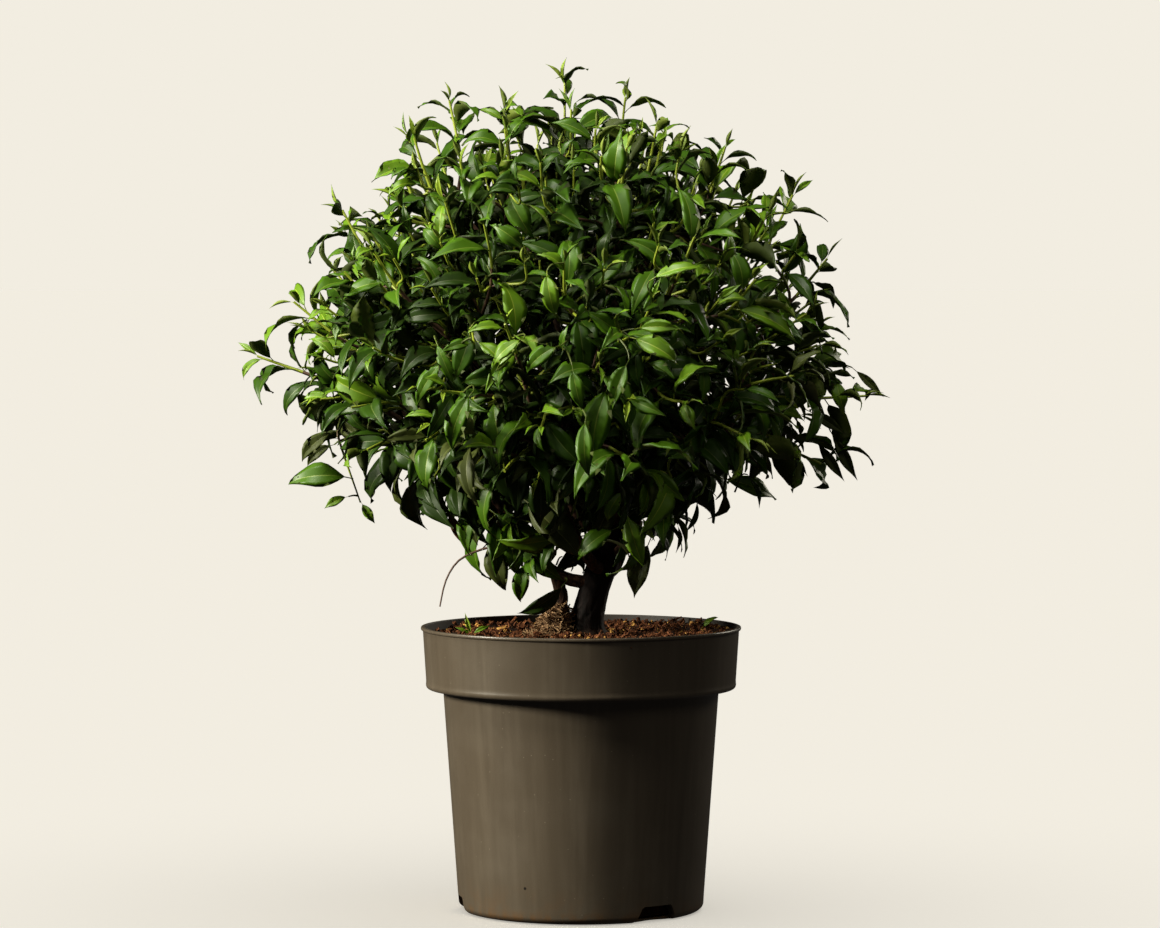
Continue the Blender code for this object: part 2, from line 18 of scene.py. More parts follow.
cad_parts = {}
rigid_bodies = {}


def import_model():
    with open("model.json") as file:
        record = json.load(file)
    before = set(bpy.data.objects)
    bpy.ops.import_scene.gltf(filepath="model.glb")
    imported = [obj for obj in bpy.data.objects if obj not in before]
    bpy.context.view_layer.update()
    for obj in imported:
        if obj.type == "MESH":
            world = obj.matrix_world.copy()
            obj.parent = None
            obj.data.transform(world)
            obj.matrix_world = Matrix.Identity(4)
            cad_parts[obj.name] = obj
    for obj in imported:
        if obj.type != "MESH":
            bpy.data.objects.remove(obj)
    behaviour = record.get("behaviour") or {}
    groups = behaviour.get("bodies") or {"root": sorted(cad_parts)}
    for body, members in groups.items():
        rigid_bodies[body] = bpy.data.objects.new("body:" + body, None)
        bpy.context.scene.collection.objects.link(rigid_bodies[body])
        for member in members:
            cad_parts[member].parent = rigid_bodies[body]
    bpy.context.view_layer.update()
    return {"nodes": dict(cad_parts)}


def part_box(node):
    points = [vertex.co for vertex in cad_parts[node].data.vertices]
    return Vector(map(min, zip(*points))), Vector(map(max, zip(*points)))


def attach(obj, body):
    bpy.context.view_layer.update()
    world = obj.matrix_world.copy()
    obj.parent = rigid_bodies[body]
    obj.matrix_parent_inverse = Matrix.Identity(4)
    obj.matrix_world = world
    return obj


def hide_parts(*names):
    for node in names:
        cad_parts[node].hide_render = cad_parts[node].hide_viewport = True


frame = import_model()
wood_nodes = [n for n in frame["nodes"] if n.startswith(("trunk", "second_stem", "bough_"))]
foliage_nodes = [n for n in frame["nodes"] if n.startswith("foliage_")]
print("solids:", len(frame["nodes"]), "wood:", len(wood_nodes), "masses:", len(foliage_nodes))

# %% [markdown]
# The camera stands where the photographer stood: four and a half metres off, a little above the
# middle of the crown, tipped down by about two degrees. The pot's rim shows as a thin ellipse,
# and its flatness fixes that height. The long lens keeps the pot's sides nearly parallel.

# %% Camera
CAMERA_DISTANCE = 4.5
CAMERA_HEIGHT = 0.6335
CAMERA_SIDE = -0.001
AIM_HEIGHT = 0.4455
LENS_MM = 140.07

camera = bpy.data.objects.new("camera", bpy.data.cameras.new("camera"))
bpy.context.scene.collection.objects.link(camera)
camera.data.lens = LENS_MM
camera.location = (CAMERA_SIDE, -CAMERA_DISTANCE, CAMERA_HEIGHT)
tilt = math.atan((CAMERA_HEIGHT - AIM_HEIGHT) / CAMERA_DISTANCE)
camera.rotation_euler = (math.pi / 2 - tilt, 0.0, 0.0)
bpy.context.scene.camera = camera
print("camera tips down by", round(math.degrees(tilt), 2), "degrees")

# %% [markdown]
# Node trees are quicker to read when one helper adds a node and fills its sockets. A number or a
# colour stays on the socket, and another node's output is linked to it. The same helper serves
# materials and Geometry Nodes. A few more helpers make patterns on a surface, and meshes.

# %% Helpers for node trees and materials
def put(tree, kind, sockets=None, **settings):
    """Adds a node with its settings, and fills or links its sockets by name or number."""
    node = tree.nodes.new(kind)
    for name, value in settings.items():
        setattr(node, name, value)
    for name, value in (sockets or {}).items():
        if isinstance(value, bpy.types.NodeSocket):
            tree.links.new(value, node.inputs[name])
        else:
            node.inputs[name].default_value = value
    return node


def new_material(name, colour, roughness, gloss=0.5):
    """A material of a colour, roughness and gloss, with its tree and its Principled shader."""
    made = bpy.data.materials.new(name)
    made.use_nodes = True
    shader = made.node_tree.nodes["Principled BSDF"]
    shader.inputs["Base Color"].default_value = (*colour, 1.0)
    shader.inputs["Roughness"].default_value = roughness
    shader.inputs["Specular IOR Level"].default_value = gloss
    return made, made.node_tree, shader


# %% Helpers for patterns on a surface
def place_in(tree, along=1.0):
    """Object coordinates, squeezed along the height for a pattern that runs up and down."""
    place = put(tree, "ShaderNodeTexCoord")
    return put(tree, "ShaderNodeMapping", {
        "Vector": place.outputs["Object"], "Scale": (1.0, 1.0, along)}).outputs["Vector"]


def noise_in(tree, scale, detail, along=1.0, **more):
    """Noise of a scale and detail on object coordinates."""
    return put(tree, "ShaderNodeTexNoise", {
        "Vector": place_in(tree, along), "Scale": scale, "Detail": detail, **more}).outputs[0]


def height_in(tree):
    """The height of a place on the surface."""
    return put(tree, "ShaderNodeSeparateXYZ", {"Vector": place_in(tree)}).outputs["Z"]


def product(tree, one, other):
    """Two values multiplied."""
    return put(tree, "ShaderNodeMath", {0: one, 1: other}, operation="MULTIPLY").outputs[0]


def spread(tree, value, low, high, to_low=0.0, to_high=1.0):
    """A value between low and high spread to another range, and held there."""
    return put(tree, "ShaderNodeMapRange", {
        "Value": value, "From Min": low, "From Max": high,
        "To Min": to_low, "To Max": to_high}).outputs["Result"]


def blended(tree, share, under, over):
    """The colour over laid on the colour under by a share."""
    node = put(tree, "ShaderNodeMix", data_type="RGBA")
    for name, value in (("Factor", share), ("A", under), ("B", over)):
        kind = "VALUE" if name == "Factor" else "RGBA"
        socket = next(s for s in node.inputs if s.name == name and s.type == kind)
        if isinstance(value, bpy.types.NodeSocket):
            tree.links.new(value, socket)
        else:
            socket.default_value = (*value, 1.0)
    return next(s for s in node.outputs if s.type == "RGBA")


def colour_and_relief(tree, shader, colour, height, strength, depth):
    """Gives a shader its colour, and a bump from a height map."""
    tree.links.new(colour, shader.inputs["Base Color"])
    bump = put(tree, "ShaderNodeBump", {
        "Height": height, "Strength": strength, "Distance": depth})
    tree.links.new(bump.outputs[0], shader.inputs["Normal"])


# %% Helpers for meshes and collections
def new_object(name, data, collection=None):
    """An object in a collection, or else in the scene."""
    made = bpy.data.objects.new(name, data)
    (collection or bpy.context.scene.collection).objects.link(made)
    return made


def from_lists(name, verts, edges, faces, collection=None):
    """An object from lists of points, edges and faces."""
    mesh = bpy.data.meshes.new(name)
    mesh.from_pydata(verts, edges, faces)
    return new_object(name, mesh, collection)


def tube_faces(rings, sides):
    """Faces of a tube whose rings of points follow each other."""
    return [(k * sides + j, k * sides + (j + 1) % sides,
             (k + 1) * sides + (j + 1) % sides, (k + 1) * sides + j)
            for k in range(rings - 1) for j in range(sides)]


def give_values(made, name, kind, values, domain="POINT"):
    """Gives an object's mesh a named attribute with its values."""
    data = made.data.attributes.new(name, kind, domain).data
    data.foreach_set("vector" if kind == "FLOAT_VECTOR" else "value", values)
    return made


def from_bmesh(name, bm, collection=None):
    """An object from a bmesh, which is freed."""
    mesh = bpy.data.meshes.new(name)
    bm.to_mesh(mesh)
    bm.free()
    return new_object(name, mesh, collection)


def clear_collection(collection):
    """Removes a collection of helper shapes."""
    for made in list(collection.objects):
        bpy.data.objects.remove(made, do_unlink=True)
    bpy.data.collections.remove(collection)


# %% [markdown]
# The studio: a pale floor that runs out to an equally pale backdrop, and one soft key light from
# the left. A wide light above, a faint one at the right and one behind keep the edges from going
# black. The photograph's shadow side is very dark, so the floor and backdrop hardly light the
# plant. The floor has a light of its own, and the others leave it out, so it stays one even tone
# up to the horizon.

# %% Floor
PALE = (0.888, 0.847, 0.753)
FLOOR_SIZE = 400.0
FLOOR_DROP = 0.0005
FLOOR_GLOW = 0.4735

bpy.ops.mesh.primitive_grid_add(size=FLOOR_SIZE, location=(0.0, 0.0, -FLOOR_DROP))
floor = bpy.context.object
floor.name = "floor"
floor_finish, _, floor_shader = new_material("pale_floor", PALE, 1.0, 0.0)
floor_shader.inputs["Emission Color"].default_value = (*PALE, 1.0)
floor_shader.inputs["Emission Strength"].default_value = FLOOR_GLOW
floor.data.materials.append(floor_finish)
floor.visible_diffuse = False
floor.visible_glossy = False
print("floor:", FLOOR_SIZE, "metres square")

# %% Backdrop
SHADOW_SIDE_LIGHT = 0.031
SHADOW_SIDE_COLOUR = (1.0, 0.93, 0.85)

world = bpy.data.worlds.new("studio")
bpy.context.scene.world = world
world.use_nodes = True
sky = world.node_tree
sky.nodes.clear()
seen_directly = put(sky, "ShaderNodeLightPath").outputs["Is Camera Ray"]
behind = put(sky, "ShaderNodeBackground", {"Color": (*PALE, 1.0), "Strength": 1.0})
around = put(sky, "ShaderNodeBackground", {
    "Color": (*SHADOW_SIDE_COLOUR, 1.0), "Strength": SHADOW_SIDE_LIGHT})
chosen = put(sky, "ShaderNodeMixShader", {
    0: seen_directly, 1: around.outputs[0], 2: behind.outputs[0]})
put(sky, "ShaderNodeOutputWorld", {"Surface": chosen.outputs[0]})
bpy.context.scene.view_settings.view_transform = "Standard"
print("backdrop:", len(sky.nodes), "nodes")

# %% Lights
FLOOR_SUN = 1.56
FLOOR_SUN_DEGREES = 100
# Name, place, height aimed at, watts, colour and size of each light on the plant
PLANT_LIGHTS = [
    ("key", (-2.72, -0.80, 1.40), 0.50, 192, (1.0, 0.95, 0.80), 0.75),
    ("top", (-0.7, -1.0, 2.7), 0.55, 84, (1.0, 0.97, 0.84), 1.0),
    ("back_edge", (2.4, 2.6, 1.5), 0.45, 36, (1.0, 0.93, 0.78), 1.0),
    ("right_fill", (1.5, -1.9, 2.3), 0.55, 8, (1.0, 0.96, 0.82), 1.4),
]


def linked_light(name, kind, place, aim, watts, colour, floor_only, **shape):
    """A light that reaches only the floor, or everything but the floor."""
    lamp = bpy.data.lights.new(name, kind)
    lamp.energy = watts
    lamp.color = colour
    for setting, value in shape.items():
        setattr(lamp, setting, value)
    light = new_object(name, lamp)
    light.location = place
    light.rotation_euler = (Vector(aim) - Vector(place)).to_track_quat("-Z", "Y").to_euler()
    reach = bpy.data.collections.new(name + "_reach")
    reach.objects.link(floor)
    light.light_linking.receiver_collection = reach
    state = "INCLUDE" if floor_only else "EXCLUDE"
    reach.collection_objects[0].light_linking.link_state = state


linked_light("floor_light", "SUN", (0, 0, 5), (0, 0, 0), FLOOR_SUN, (1, 1, 1), True,
             angle=math.radians(FLOOR_SUN_DEGREES))
for name, place, aim_height, watts, colour, size in PLANT_LIGHTS:
    linked_light(name, "AREA", place, (0.0, 0.0, aim_height), watts, colour, False,
                 shape="DISK", size=size)

# %% [markdown]
# A grower's pot is moulded in one piece: a thin tapering wall, a wide collar that stiffens the
# rim, and a narrow bead round the lip. It could be made from cylinders, but one outline turned
# round the axis gives the wall, the beads and the flat foot together. Each corner of the outline
# names its own rounding. The drain slots are cut afterwards.

# %% Outline of the pot
POT_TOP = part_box("pot")[1].z
POT_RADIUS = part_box("pot")[1].x
WALL = 0.0025
COLLAR_TOP = 0.158
COLLAR_FOOT = 0.1545
SHOULDER = 0.2218
BODY_TOP = 0.1378
BODY_FOOT = 0.1225
POT_SIDES = 160


def turned_outline(corners, arc_steps=5):
    """Corners of radius, height and rounding, with each rounded corner as an arc."""
    points = []
    for i, (r, z, rounding) in enumerate(corners):
        here = Vector((r, z))
        if rounding == 0.0 or i in (0, len(corners) - 1):
            points.append(here)
            continue
        before = (Vector(corners[i - 1][:2]) - here).normalized()
        after = (Vector(corners[i + 1][:2]) - here).normalized()
        for step in range(arc_steps + 1):
            t = step / arc_steps
            points.append(here + rounding * (before * (1 - t) ** 2 + after * t ** 2))
    return points


# Radius, height and rounding of each corner, from the floor inside round to the foot
POT_CORNERS = [
    (0.0, 0.0028, 0.0),
    (BODY_FOOT - 0.009, 0.0028, 0.003),
    (BODY_TOP - WALL, SHOULDER + WALL, 0.002),
    (COLLAR_FOOT - 0.0052, SHOULDER + WALL, 0.003),
    (COLLAR_TOP - WALL, POT_TOP - 0.003, 0.0),
    (COLLAR_TOP - WALL, POT_TOP, 0.0010),
    (POT_RADIUS, POT_TOP, 0.0014),
    (POT_RADIUS, POT_TOP - 0.0030, 0.0010),
    (COLLAR_TOP, POT_TOP - 0.0036, 0.0008),
    (COLLAR_FOOT + 0.0002, SHOULDER + 0.0070, 0.0020),
    (COLLAR_FOOT + 0.0007, SHOULDER + 0.0030, 0.0018),
    (COLLAR_FOOT - 0.0010, SHOULDER, 0.0018),
    (BODY_TOP, SHOULDER - 0.0005, 0.0030),
    (BODY_FOOT + 0.0006, 0.0150, 0.0020),
    (BODY_FOOT, 0.0040, 0.0030),
    (BODY_FOOT - 0.0050, 0.0, 0.0025),
    (BODY_FOOT - 0.0110, 0.0, 0.0010),
    (BODY_FOOT - 0.0120, 0.0006, 0.0),
    (0.0, 0.0006, 0.0),
]
print("corners in the pot's outline:", len(POT_CORNERS))


# %% Turning an outline
def turned_mesh(name, points, sides):
    """An outline of radius and height turned round the Z axis, as a plain mesh object."""
    made = from_lists(name, [(r, 0.0, z) for r, z in points],
                      [(i, i + 1) for i in range(len(points) - 1)], [])
    screw = made.modifiers.new("turn", "SCREW")
    screw.steps = sides
    screw.render_steps = sides
    screw.use_merge_vertices = True
    screw.merge_threshold = 1e-6
    return as_plain_mesh(made)


def as_plain_mesh(made):
    """The evaluated shape as the object's own mesh, with its modifiers removed."""
    bpy.context.view_layer.update()
    seen = made.evaluated_get(bpy.context.evaluated_depsgraph_get())
    mesh = bpy.data.meshes.new_from_object(seen)
    made.modifiers.clear()
    made.data = mesh
    mesh.name = made.name
    return made


# %% Drain slots
# The first slot shows at the front right
SLOT_TURNS = [math.radians(-52 + 120 * i) for i in range(3)]
SLOT_HEIGHT = 0.0160
SLOT_WIDTH = 0.066
SLOT_DEPTH = 0.024
SLOT_TOP_SHARE = 0.54
SLOT_ROUNDING = 0.0012


def slot_cutters():
    """Wedges through the foot of the wall, narrower at the top."""
    cutters = bpy.data.collections.new("slot_cutters")
    for turn in SLOT_TURNS:
        bm = bmesh.new()
        bmesh.ops.create_cube(bm, size=1.0, matrix=Matrix.Diagonal(
            (SLOT_DEPTH, SLOT_WIDTH, 2 * SLOT_HEIGHT, 1.0)))
        for vertex in bm.verts:
            if vertex.co.z > 0.0:
                vertex.co.y *= SLOT_TOP_SHARE
        bmesh.ops.bevel(bm, geom=bm.edges, offset=SLOT_ROUNDING, segments=2, affect="EDGES")
        cutter = from_bmesh("slot_cutter", bm, cutters)
        cutter.data.transform(
            Matrix.Rotation(turn, 4, "Z") @ Matrix.Translation((BODY_FOOT, 0, 0)))
    return cutters


def cut_by(made, cutters):
    """The object less the shapes in a collection."""
    cut = made.modifiers.new("cut", "BOOLEAN")
    cut.operation = "DIFFERENCE"
    cut.operand_type = "COLLECTION"
    cut.collection = cutters
    return as_plain_mesh(made)


def smooth_shaded(made, sharp_degrees):
    """The object shaded smooth, apart from edges sharper than an angle."""
    made.data.shade_smooth()
    made.data.set_sharp_from_angle(angle=math.radians(sharp_degrees))
    return made


slots = slot_cutters()
pot = cut_by(turned_mesh("pot_shell", turned_outline(POT_CORNERS), POT_SIDES), slots)
smooth_shaded(pot, sharp_degrees=40)
print("pot:", len(pot.data.polygons), "faces, radius", POT_RADIUS)

# %% [markdown]
# The plastic is a dark grey-brown with a satin sheen. Moulding leaves faint streaks that run
# down the wall, handling leaves pale scuffs and specks of dust, and watering leaves brown dirt
# round the foot. Streaks are noise on coordinates squeezed along the height, and the dirt is
# noise that fades out a few centimetres up.

# %% Finish of the pot
POT_DARK = (0.073, 0.057, 0.039)
POT_LIGHT = (0.094, 0.075, 0.053)
POT_DUST = (0.30, 0.26, 0.20)
POT_DIRT = (0.105, 0.055, 0.022)
# Scale, detail and squeeze along the height of the noise that makes streaks, and its range
STREAKS = (((26.0, 3.0, 0.05), (0.36, 0.64)), ((150.0, 4.0, 0.03), (0.35, 0.70)))
# Top, strength at the foot and scale of each band of dirt
DIRT_BANDS = ((0.040, 0.35, 60.0), (0.013, 1.0, 150.0))
# A small dark nick low on the wall, left of the middle
NICK = (-0.0548, -0.1120, 0.0350)
NICK_RADII = (0.0011, 0.0018)
NICK_DARK = (0.008, 0.006, 0.005)
# The wall's inside, a darker copy of the plastic as painted shade
INSIDE_PAINTED_SHADE = (0.020, 0.016, 0.012)


def pot_finish():
    """Dark plastic with streaks, dust, specks, dirt near the foot and one nick."""
    made, tree, shader = new_material("dusty_grey_plastic", POT_DARK, 0.42)
    streak = product(tree, *[spread(tree, noise_in(tree, *pattern), *span)
                             for pattern, span in STREAKS])
    colour = blended(tree, streak, POT_DARK, POT_LIGHT)
    cloud = noise_in(tree, 14.0, 6.0)
    colour = blended(tree, spread(tree, cloud, 0.50, 0.80, 0.0, 0.07), colour, POT_DUST)
    specks = put(tree, "ShaderNodeTexVoronoi", {"Vector": place_in(tree), "Scale": 95.0})
    speck = spread(tree, specks.outputs["Distance"], 0.030, 0.055, 0.55, 0.0)
    colour = blended(tree, speck, colour, POT_DUST)
    for top, share, scale in DIRT_BANDS:
        low = spread(tree, height_in(tree), 0.001, top, share, 0.0)
        patchy = spread(tree, noise_in(tree, scale, 8.0, 0.6), 0.44, 0.60)
        colour = blended(tree, product(tree, low, patchy), colour, POT_DIRT)
    far = put(tree, "ShaderNodeVectorMath", {0: place_in(tree), 1: NICK}, operation="DISTANCE")
    nick = spread(tree, far.outputs["Value"], *NICK_RADII, 1.0, 0.0)
    colour = blended(tree, nick, colour, NICK_DARK)
    tree.links.new(spread(tree, cloud, 0.3, 0.7, 0.30, 0.40), shader.inputs["Roughness"])
    colour_and_relief(tree, shader, colour, noise_in(tree, 700.0, 3.0), 0.16, 0.0004)
    return made


pot.data.materials.append(pot_finish())
# The wall's inside is painted dark: a darker copy of the plastic as painted shade inside the rim
inside_shade_finish, _, _ = new_material("stained_plastic", INSIDE_PAINTED_SHADE, 0.60)
pot.data.materials.append(inside_shade_finish)
for face in pot.data.polygons:
    outwards = face.center.xy.dot(face.normal.xy)
    if face.center.z > SHOULDER and outwards < -0.5 * face.center.xy.length:
        face.material_index = 1
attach(pot, "root")
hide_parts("pot")
print("pot finish:", pot.data.materials[0].name)

# %% [markdown]
# The compost is shredded bark: a dark crumbly bed with fibres and chips lying on it every way
# up. The bed is a turned body that fills the pot, and its top is pushed up and down by noise in
# code, because it has to rise where it meets the trunk. The drain slots are cut in it too, so
# that they look dark and deep.

# %% Bed of potting mix
MIX_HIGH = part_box("potting_mix")[1]
MIX_EDGE = MIX_HIGH.x - 0.0002
MIX_EDGE_HEIGHT = POT_TOP - 0.0100
# The compost lies higher against the wall at the right
EDGE_RISE = 0.0045
MOUND_RADIUS = 0.062
BED_RINGS = 44
BED_CLEARANCE = 0.0004
BED_RELIEF = 0.0056
LUMP_SCALE = 48.0
CRUMB_SCALE = 130
CRUMB_SHARE = 0.6
# The lumps calm down to a share of their height within a few millimetres of the wall
EDGE_FADE = 0.006
EDGE_CALM = 0.35
COMPOST_BROWNS = ((0.010, 0.004, 0.002), (0.070, 0.028, 0.012))


def bed_height(x, y):
    """The compost's top: level round the trunk, falling to the wall, and lumpy."""
    r = math.hypot(x, y)
    fall = min(max((r - MOUND_RADIUS) / (MIX_EDGE - MOUND_RADIUS), 0.0), 1.0)
    lumps = noise.noise(Vector((x, y, 0.0)) * LUMP_SCALE)
    lumps += CRUMB_SHARE * noise.noise(Vector((x, y, 3.0)) * CRUMB_SCALE)
    fade = min(1.0, max(0.0, (MIX_EDGE - r) / EDGE_FADE))
    level = MIX_HIGH.z + (MIX_EDGE_HEIGHT - MIX_HIGH.z) * fall
    level += EDGE_RISE * fall * max((x + 0.5 * y) / MIX_EDGE, 0.0)
    return level + BED_RELIEF * lumps * (EDGE_CALM + (1 - EDGE_CALM) * fade)


def make_bed():
    """The bed as a turned body, just clear of the pot's inside, with its top pushed about."""
    wall = [(MIX_EDGE - 0.0042, SHOULDER + WALL + BED_CLEARANCE),
            (BODY_TOP - WALL - BED_CLEARANCE, SHOULDER),
            (BODY_FOOT - WALL - 0.0010, 0.0050), (0.0, 0.0045)]
    top = [(MIX_EDGE * i / BED_RINGS, MIX_EDGE_HEIGHT) for i in range(BED_RINGS + 1)]
    bed = cut_by(turned_mesh("compost_bed", top + wall, POT_SIDES), slots)
    for vertex in bed.data.vertices:
        if vertex.co.z > MIX_EDGE_HEIGHT - 0.0001:
            vertex.co.z = bed_height(vertex.co.x, vertex.co.y)
    return smooth_shaded(bed, sharp_degrees=60)


bed = make_bed()
clear_collection(slots)
print("bed:", len(bed.data.polygons), "faces, top at", round(MIX_HIGH.z, 4))

# %% Finish of the bed
def crumb_finish(name, dark, light, scale):
    """Crumbs in two browns, rough and full of small pits."""
    made, tree, shader = new_material(name, dark, 0.92, 0.15)
    crumbs = noise_in(tree, scale, 8.0, Roughness=0.7)
    colour = blended(tree, spread(tree, crumbs, 0.40, 0.68), dark, light)
    colour_and_relief(tree, shader, colour, crumbs, 0.9, 0.0015)
    return made


bed.data.materials.append(crumb_finish("dark_compost", *COMPOST_BROWNS, scale=240.0))
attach(bed, "root")
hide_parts("potting_mix")
print("bed finish:", bed.data.materials[0].name)

# %% [markdown]
# Chips and fibres cover the bed. They are scattered by Geometry Nodes: points on the bed's top,
# a small stick or flake on each, turned every way and sized at random. The tree takes its
# density, size and seed as named inputs, so the brown, red and straw-coloured pieces share it.

# %% A geometry tree and its inputs
def new_tree(name, inputs):
    """A Geometry Nodes tree, its group input and output, and its inputs' identifiers."""
    tree = bpy.data.node_groups.new(name, "GeometryNodeTree")
    tree.is_modifier = True
    tree.interface.new_socket("Geometry", in_out="INPUT", socket_type="NodeSocketGeometry")
    tree.interface.new_socket("Geometry", in_out="OUTPUT", socket_type="NodeSocketGeometry")
    identifiers = {}
    for label, kind in inputs.items():
        socket = tree.interface.new_socket(
            label, in_out="INPUT", socket_type="NodeSocket" + kind)
        identifiers[label] = socket.identifier
    given = tree.nodes.new("NodeGroupInput")
    result = tree.nodes.new("NodeGroupOutput")
    return tree, given, result, identifiers


def attribute_in(tree, name, kind):
    """The value of a named attribute."""
    return put(tree, "GeometryNodeInputNamedAttribute", {"Name": name}, data_type=kind).outputs[0]


def copies_on(tree, points, forms, turn, scale, **more):
    """Forms from a collection set on points, each with its turn and size."""
    kinds = put(tree, "GeometryNodeCollectionInfo", {
        "Collection": forms, "Separate Children": True, "Reset Children": True})
    rotation = put(tree, "FunctionNodeEulerToRotation", {"Euler": turn})
    return put(tree, "GeometryNodeInstanceOnPoints", {
        "Points": points, "Instance": kinds.outputs[0], "Pick Instance": True,
        "Rotation": rotation.outputs[0], "Scale": scale, **more}).outputs[0]


def end_tree(tree, shape, finish, result):
    """Makes the copies real and gives them one finish, which ends a tree."""
    real = put(tree, "GeometryNodeRealizeInstances", {"Geometry": shape})
    finished = put(tree, "GeometryNodeSetMaterial", {
        "Geometry": real.outputs[0], "Material": finish})
    tree.links.new(finished.outputs[0], result.inputs[0])


def grow_through(made, tree, identifiers, values):
    """Runs an object's mesh through a tree with its inputs set, and keeps the plain mesh."""
    growth = made.modifiers.new("growth", "NODES")
    growth.node_group = tree
    for label, value in values.items():
        growth[identifiers[label]] = value
    return as_plain_mesh(made)


# %% Tree that scatters chips
CHIP_TILT = 0.9


def chip_tree():
    """Points on a mesh, and on each a chip of random form, turn and size."""
    tree, given, result, names = new_tree("scattered_chips", {
        "Chips": "Collection", "Density": "Float", "Smallest": "Float", "Largest": "Float",
        "Seed": "Int", "Finish": "Material"})
    ground = put(tree, "GeometryNodeDistributePointsOnFaces", {
        "Mesh": given.outputs["Geometry"], "Density": given.outputs["Density"],
        "Seed": given.outputs["Seed"]})
    turn = put(tree, "FunctionNodeRandomValue", {
        "Min": (-CHIP_TILT, -CHIP_TILT, 0.0), "Max": (CHIP_TILT, CHIP_TILT, math.tau),
        "Seed": given.outputs["Seed"]}, data_type="FLOAT_VECTOR")
    size = put(tree, "FunctionNodeRandomValue", data_type="FLOAT")
    sockets = [s for s in size.inputs if s.type == "VALUE"]
    tree.links.new(given.outputs["Smallest"], sockets[0])
    tree.links.new(given.outputs["Largest"], sockets[1])
    tree.links.new(given.outputs["Seed"], size.inputs["Seed"])
    scale = next(s for s in size.outputs if s.type == "VALUE")
    chips = copies_on(
        tree, ground.outputs["Points"], given.outputs["Chips"], turn.outputs[0], scale)
    end_tree(tree, chips, given.outputs["Finish"], result)
    return tree, names


# %% Chips and fibres
CHIP_FORMS = 6
CHIP_BEND = 0.25
CHIP_TAPER = (0.3, 1.4)
CHIP_ROUGHNESS = 0.3
CHIP_SWAY = 0.25
# How far below the bed's edge, how upright and how far inside the wall its top faces are
TOP_DROP = 0.009
TOP_UPRIGHT = 0.3
TOP_INSET = 0.0035


def chip_forms(length, width, thickness, seed):
    """Small irregular sticks or flakes, one unit in size, in a collection of their own."""
    chance = random.Random(seed)
    forms = bpy.data.collections.new("chip_forms")
    for i in range(CHIP_FORMS):
        bm = bmesh.new()
        bmesh.ops.create_cube(bm, size=1.0, matrix=Matrix.Diagonal(
            (length, width, thickness, 1.0)))
        long_edges = [e for e in bm.edges
                      if abs(e.verts[0].co.x - e.verts[1].co.x) > length / 2]
        bmesh.ops.subdivide_edges(bm, edges=long_edges, cuts=2, use_grid_fill=True)
        bend = chance.uniform(-CHIP_BEND, CHIP_BEND) * length
        for vertex in bm.verts:
            along = vertex.co.x / length
            vertex.co.y *= 1.0 - abs(along) * chance.uniform(*CHIP_TAPER)
            rough = chance.uniform(-CHIP_ROUGHNESS, CHIP_ROUGHNESS)
            vertex.co.z += bend * along * along + rough * thickness
            vertex.co.y += chance.uniform(-CHIP_SWAY, CHIP_SWAY) * width
        from_bmesh(f"chip_{i}", bm, forms)
    return forms


def top_of_bed(name):
    """A copy of the bed's top faces inside the wall, for litter to lie on."""
    bm = bmesh.new()
    bm.from_mesh(bed.data)
    far = [f for f in bm.faces
           if f.calc_center_median().z < MIX_EDGE_HEIGHT - TOP_DROP or f.normal.z < TOP_UPRIGHT
           or f.calc_center_median().xy.length > MIX_EDGE - TOP_INSET]
    bmesh.ops.delete(bm, geom=far, context="FACES")
    return from_bmesh(name, bm)


# Name, length, width and thickness shares, pieces per square metre, sizes, dark and light colour
LITTER = [
    ("bark_chips", (1.0, 0.46, 0.20), 10000, (0.0045, 0.0130), (0.020, 0.006, 0.002),
     (0.190, 0.066, 0.024)),
    ("bark_fibres", (1.0, 0.13, 0.10), 13000, (0.0060, 0.0180), (0.050, 0.014, 0.006),
     (0.330, 0.130, 0.052)),
    ("straw_chips", (1.0, 0.40, 0.18), 3000, (0.0035, 0.0110), (0.380, 0.170, 0.035),
     (0.840, 0.520, 0.160)),
]

scatter, scatter_names = chip_tree()
for seed, (name, shares, density, sizes, dark, light) in enumerate(LITTER):
    forms = chip_forms(*shares, seed)
    litter = grow_through(top_of_bed(name), scatter, scatter_names, {
        "Chips": forms, "Density": density, "Smallest": sizes[0], "Largest": sizes[1],
        "Seed": seed + 11, "Finish": crumb_finish(name + "_brown", dark, light, scale=420.0)})
    clear_collection(forms)
    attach(litter, "root")
    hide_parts("potting_mix")
    print(name + ":", len(litter.data.polygons), "faces")

# %% [markdown]
# Where the second stem leaves the ground the photo shows a steep little mound of tan root
# fibres. A lumpy skirt round the stem's foot stands for it, and the same tree that scatters the
# chips covers it densely with long thin fibres.

# %% Mound of fibres
MOUND_PLACE = (-0.0265, -0.006)
MOUND_LEAN = 0.10
# Height above the compost and radius of each ring
MOUND_RINGS = [(-0.004, 0.030), (0.002, 0.0245), (0.007, 0.0195), (0.013, 0.0160),
               (0.020, 0.0135), (0.027, 0.0115), (0.033, 0.0090)]
MOUND_SIDES = 28
MOUND_LUMPS = 0.0028
# Scale of the lumps' noise round the mound, and how fast it changes upwards
MOUND_LUMP_SCALE = 2.2
MOUND_LUMP_RISE = 60.0
FIBRE_DENSITY = 120000
FIBRE_SHARES = (1.0, 0.09, 0.08)
MOUND_BROWNS = ((0.030, 0.014, 0.007), (0.200, 0.110, 0.052))
FIBRE_TANS = ((0.130, 0.070, 0.034), (0.520, 0.340, 0.180))


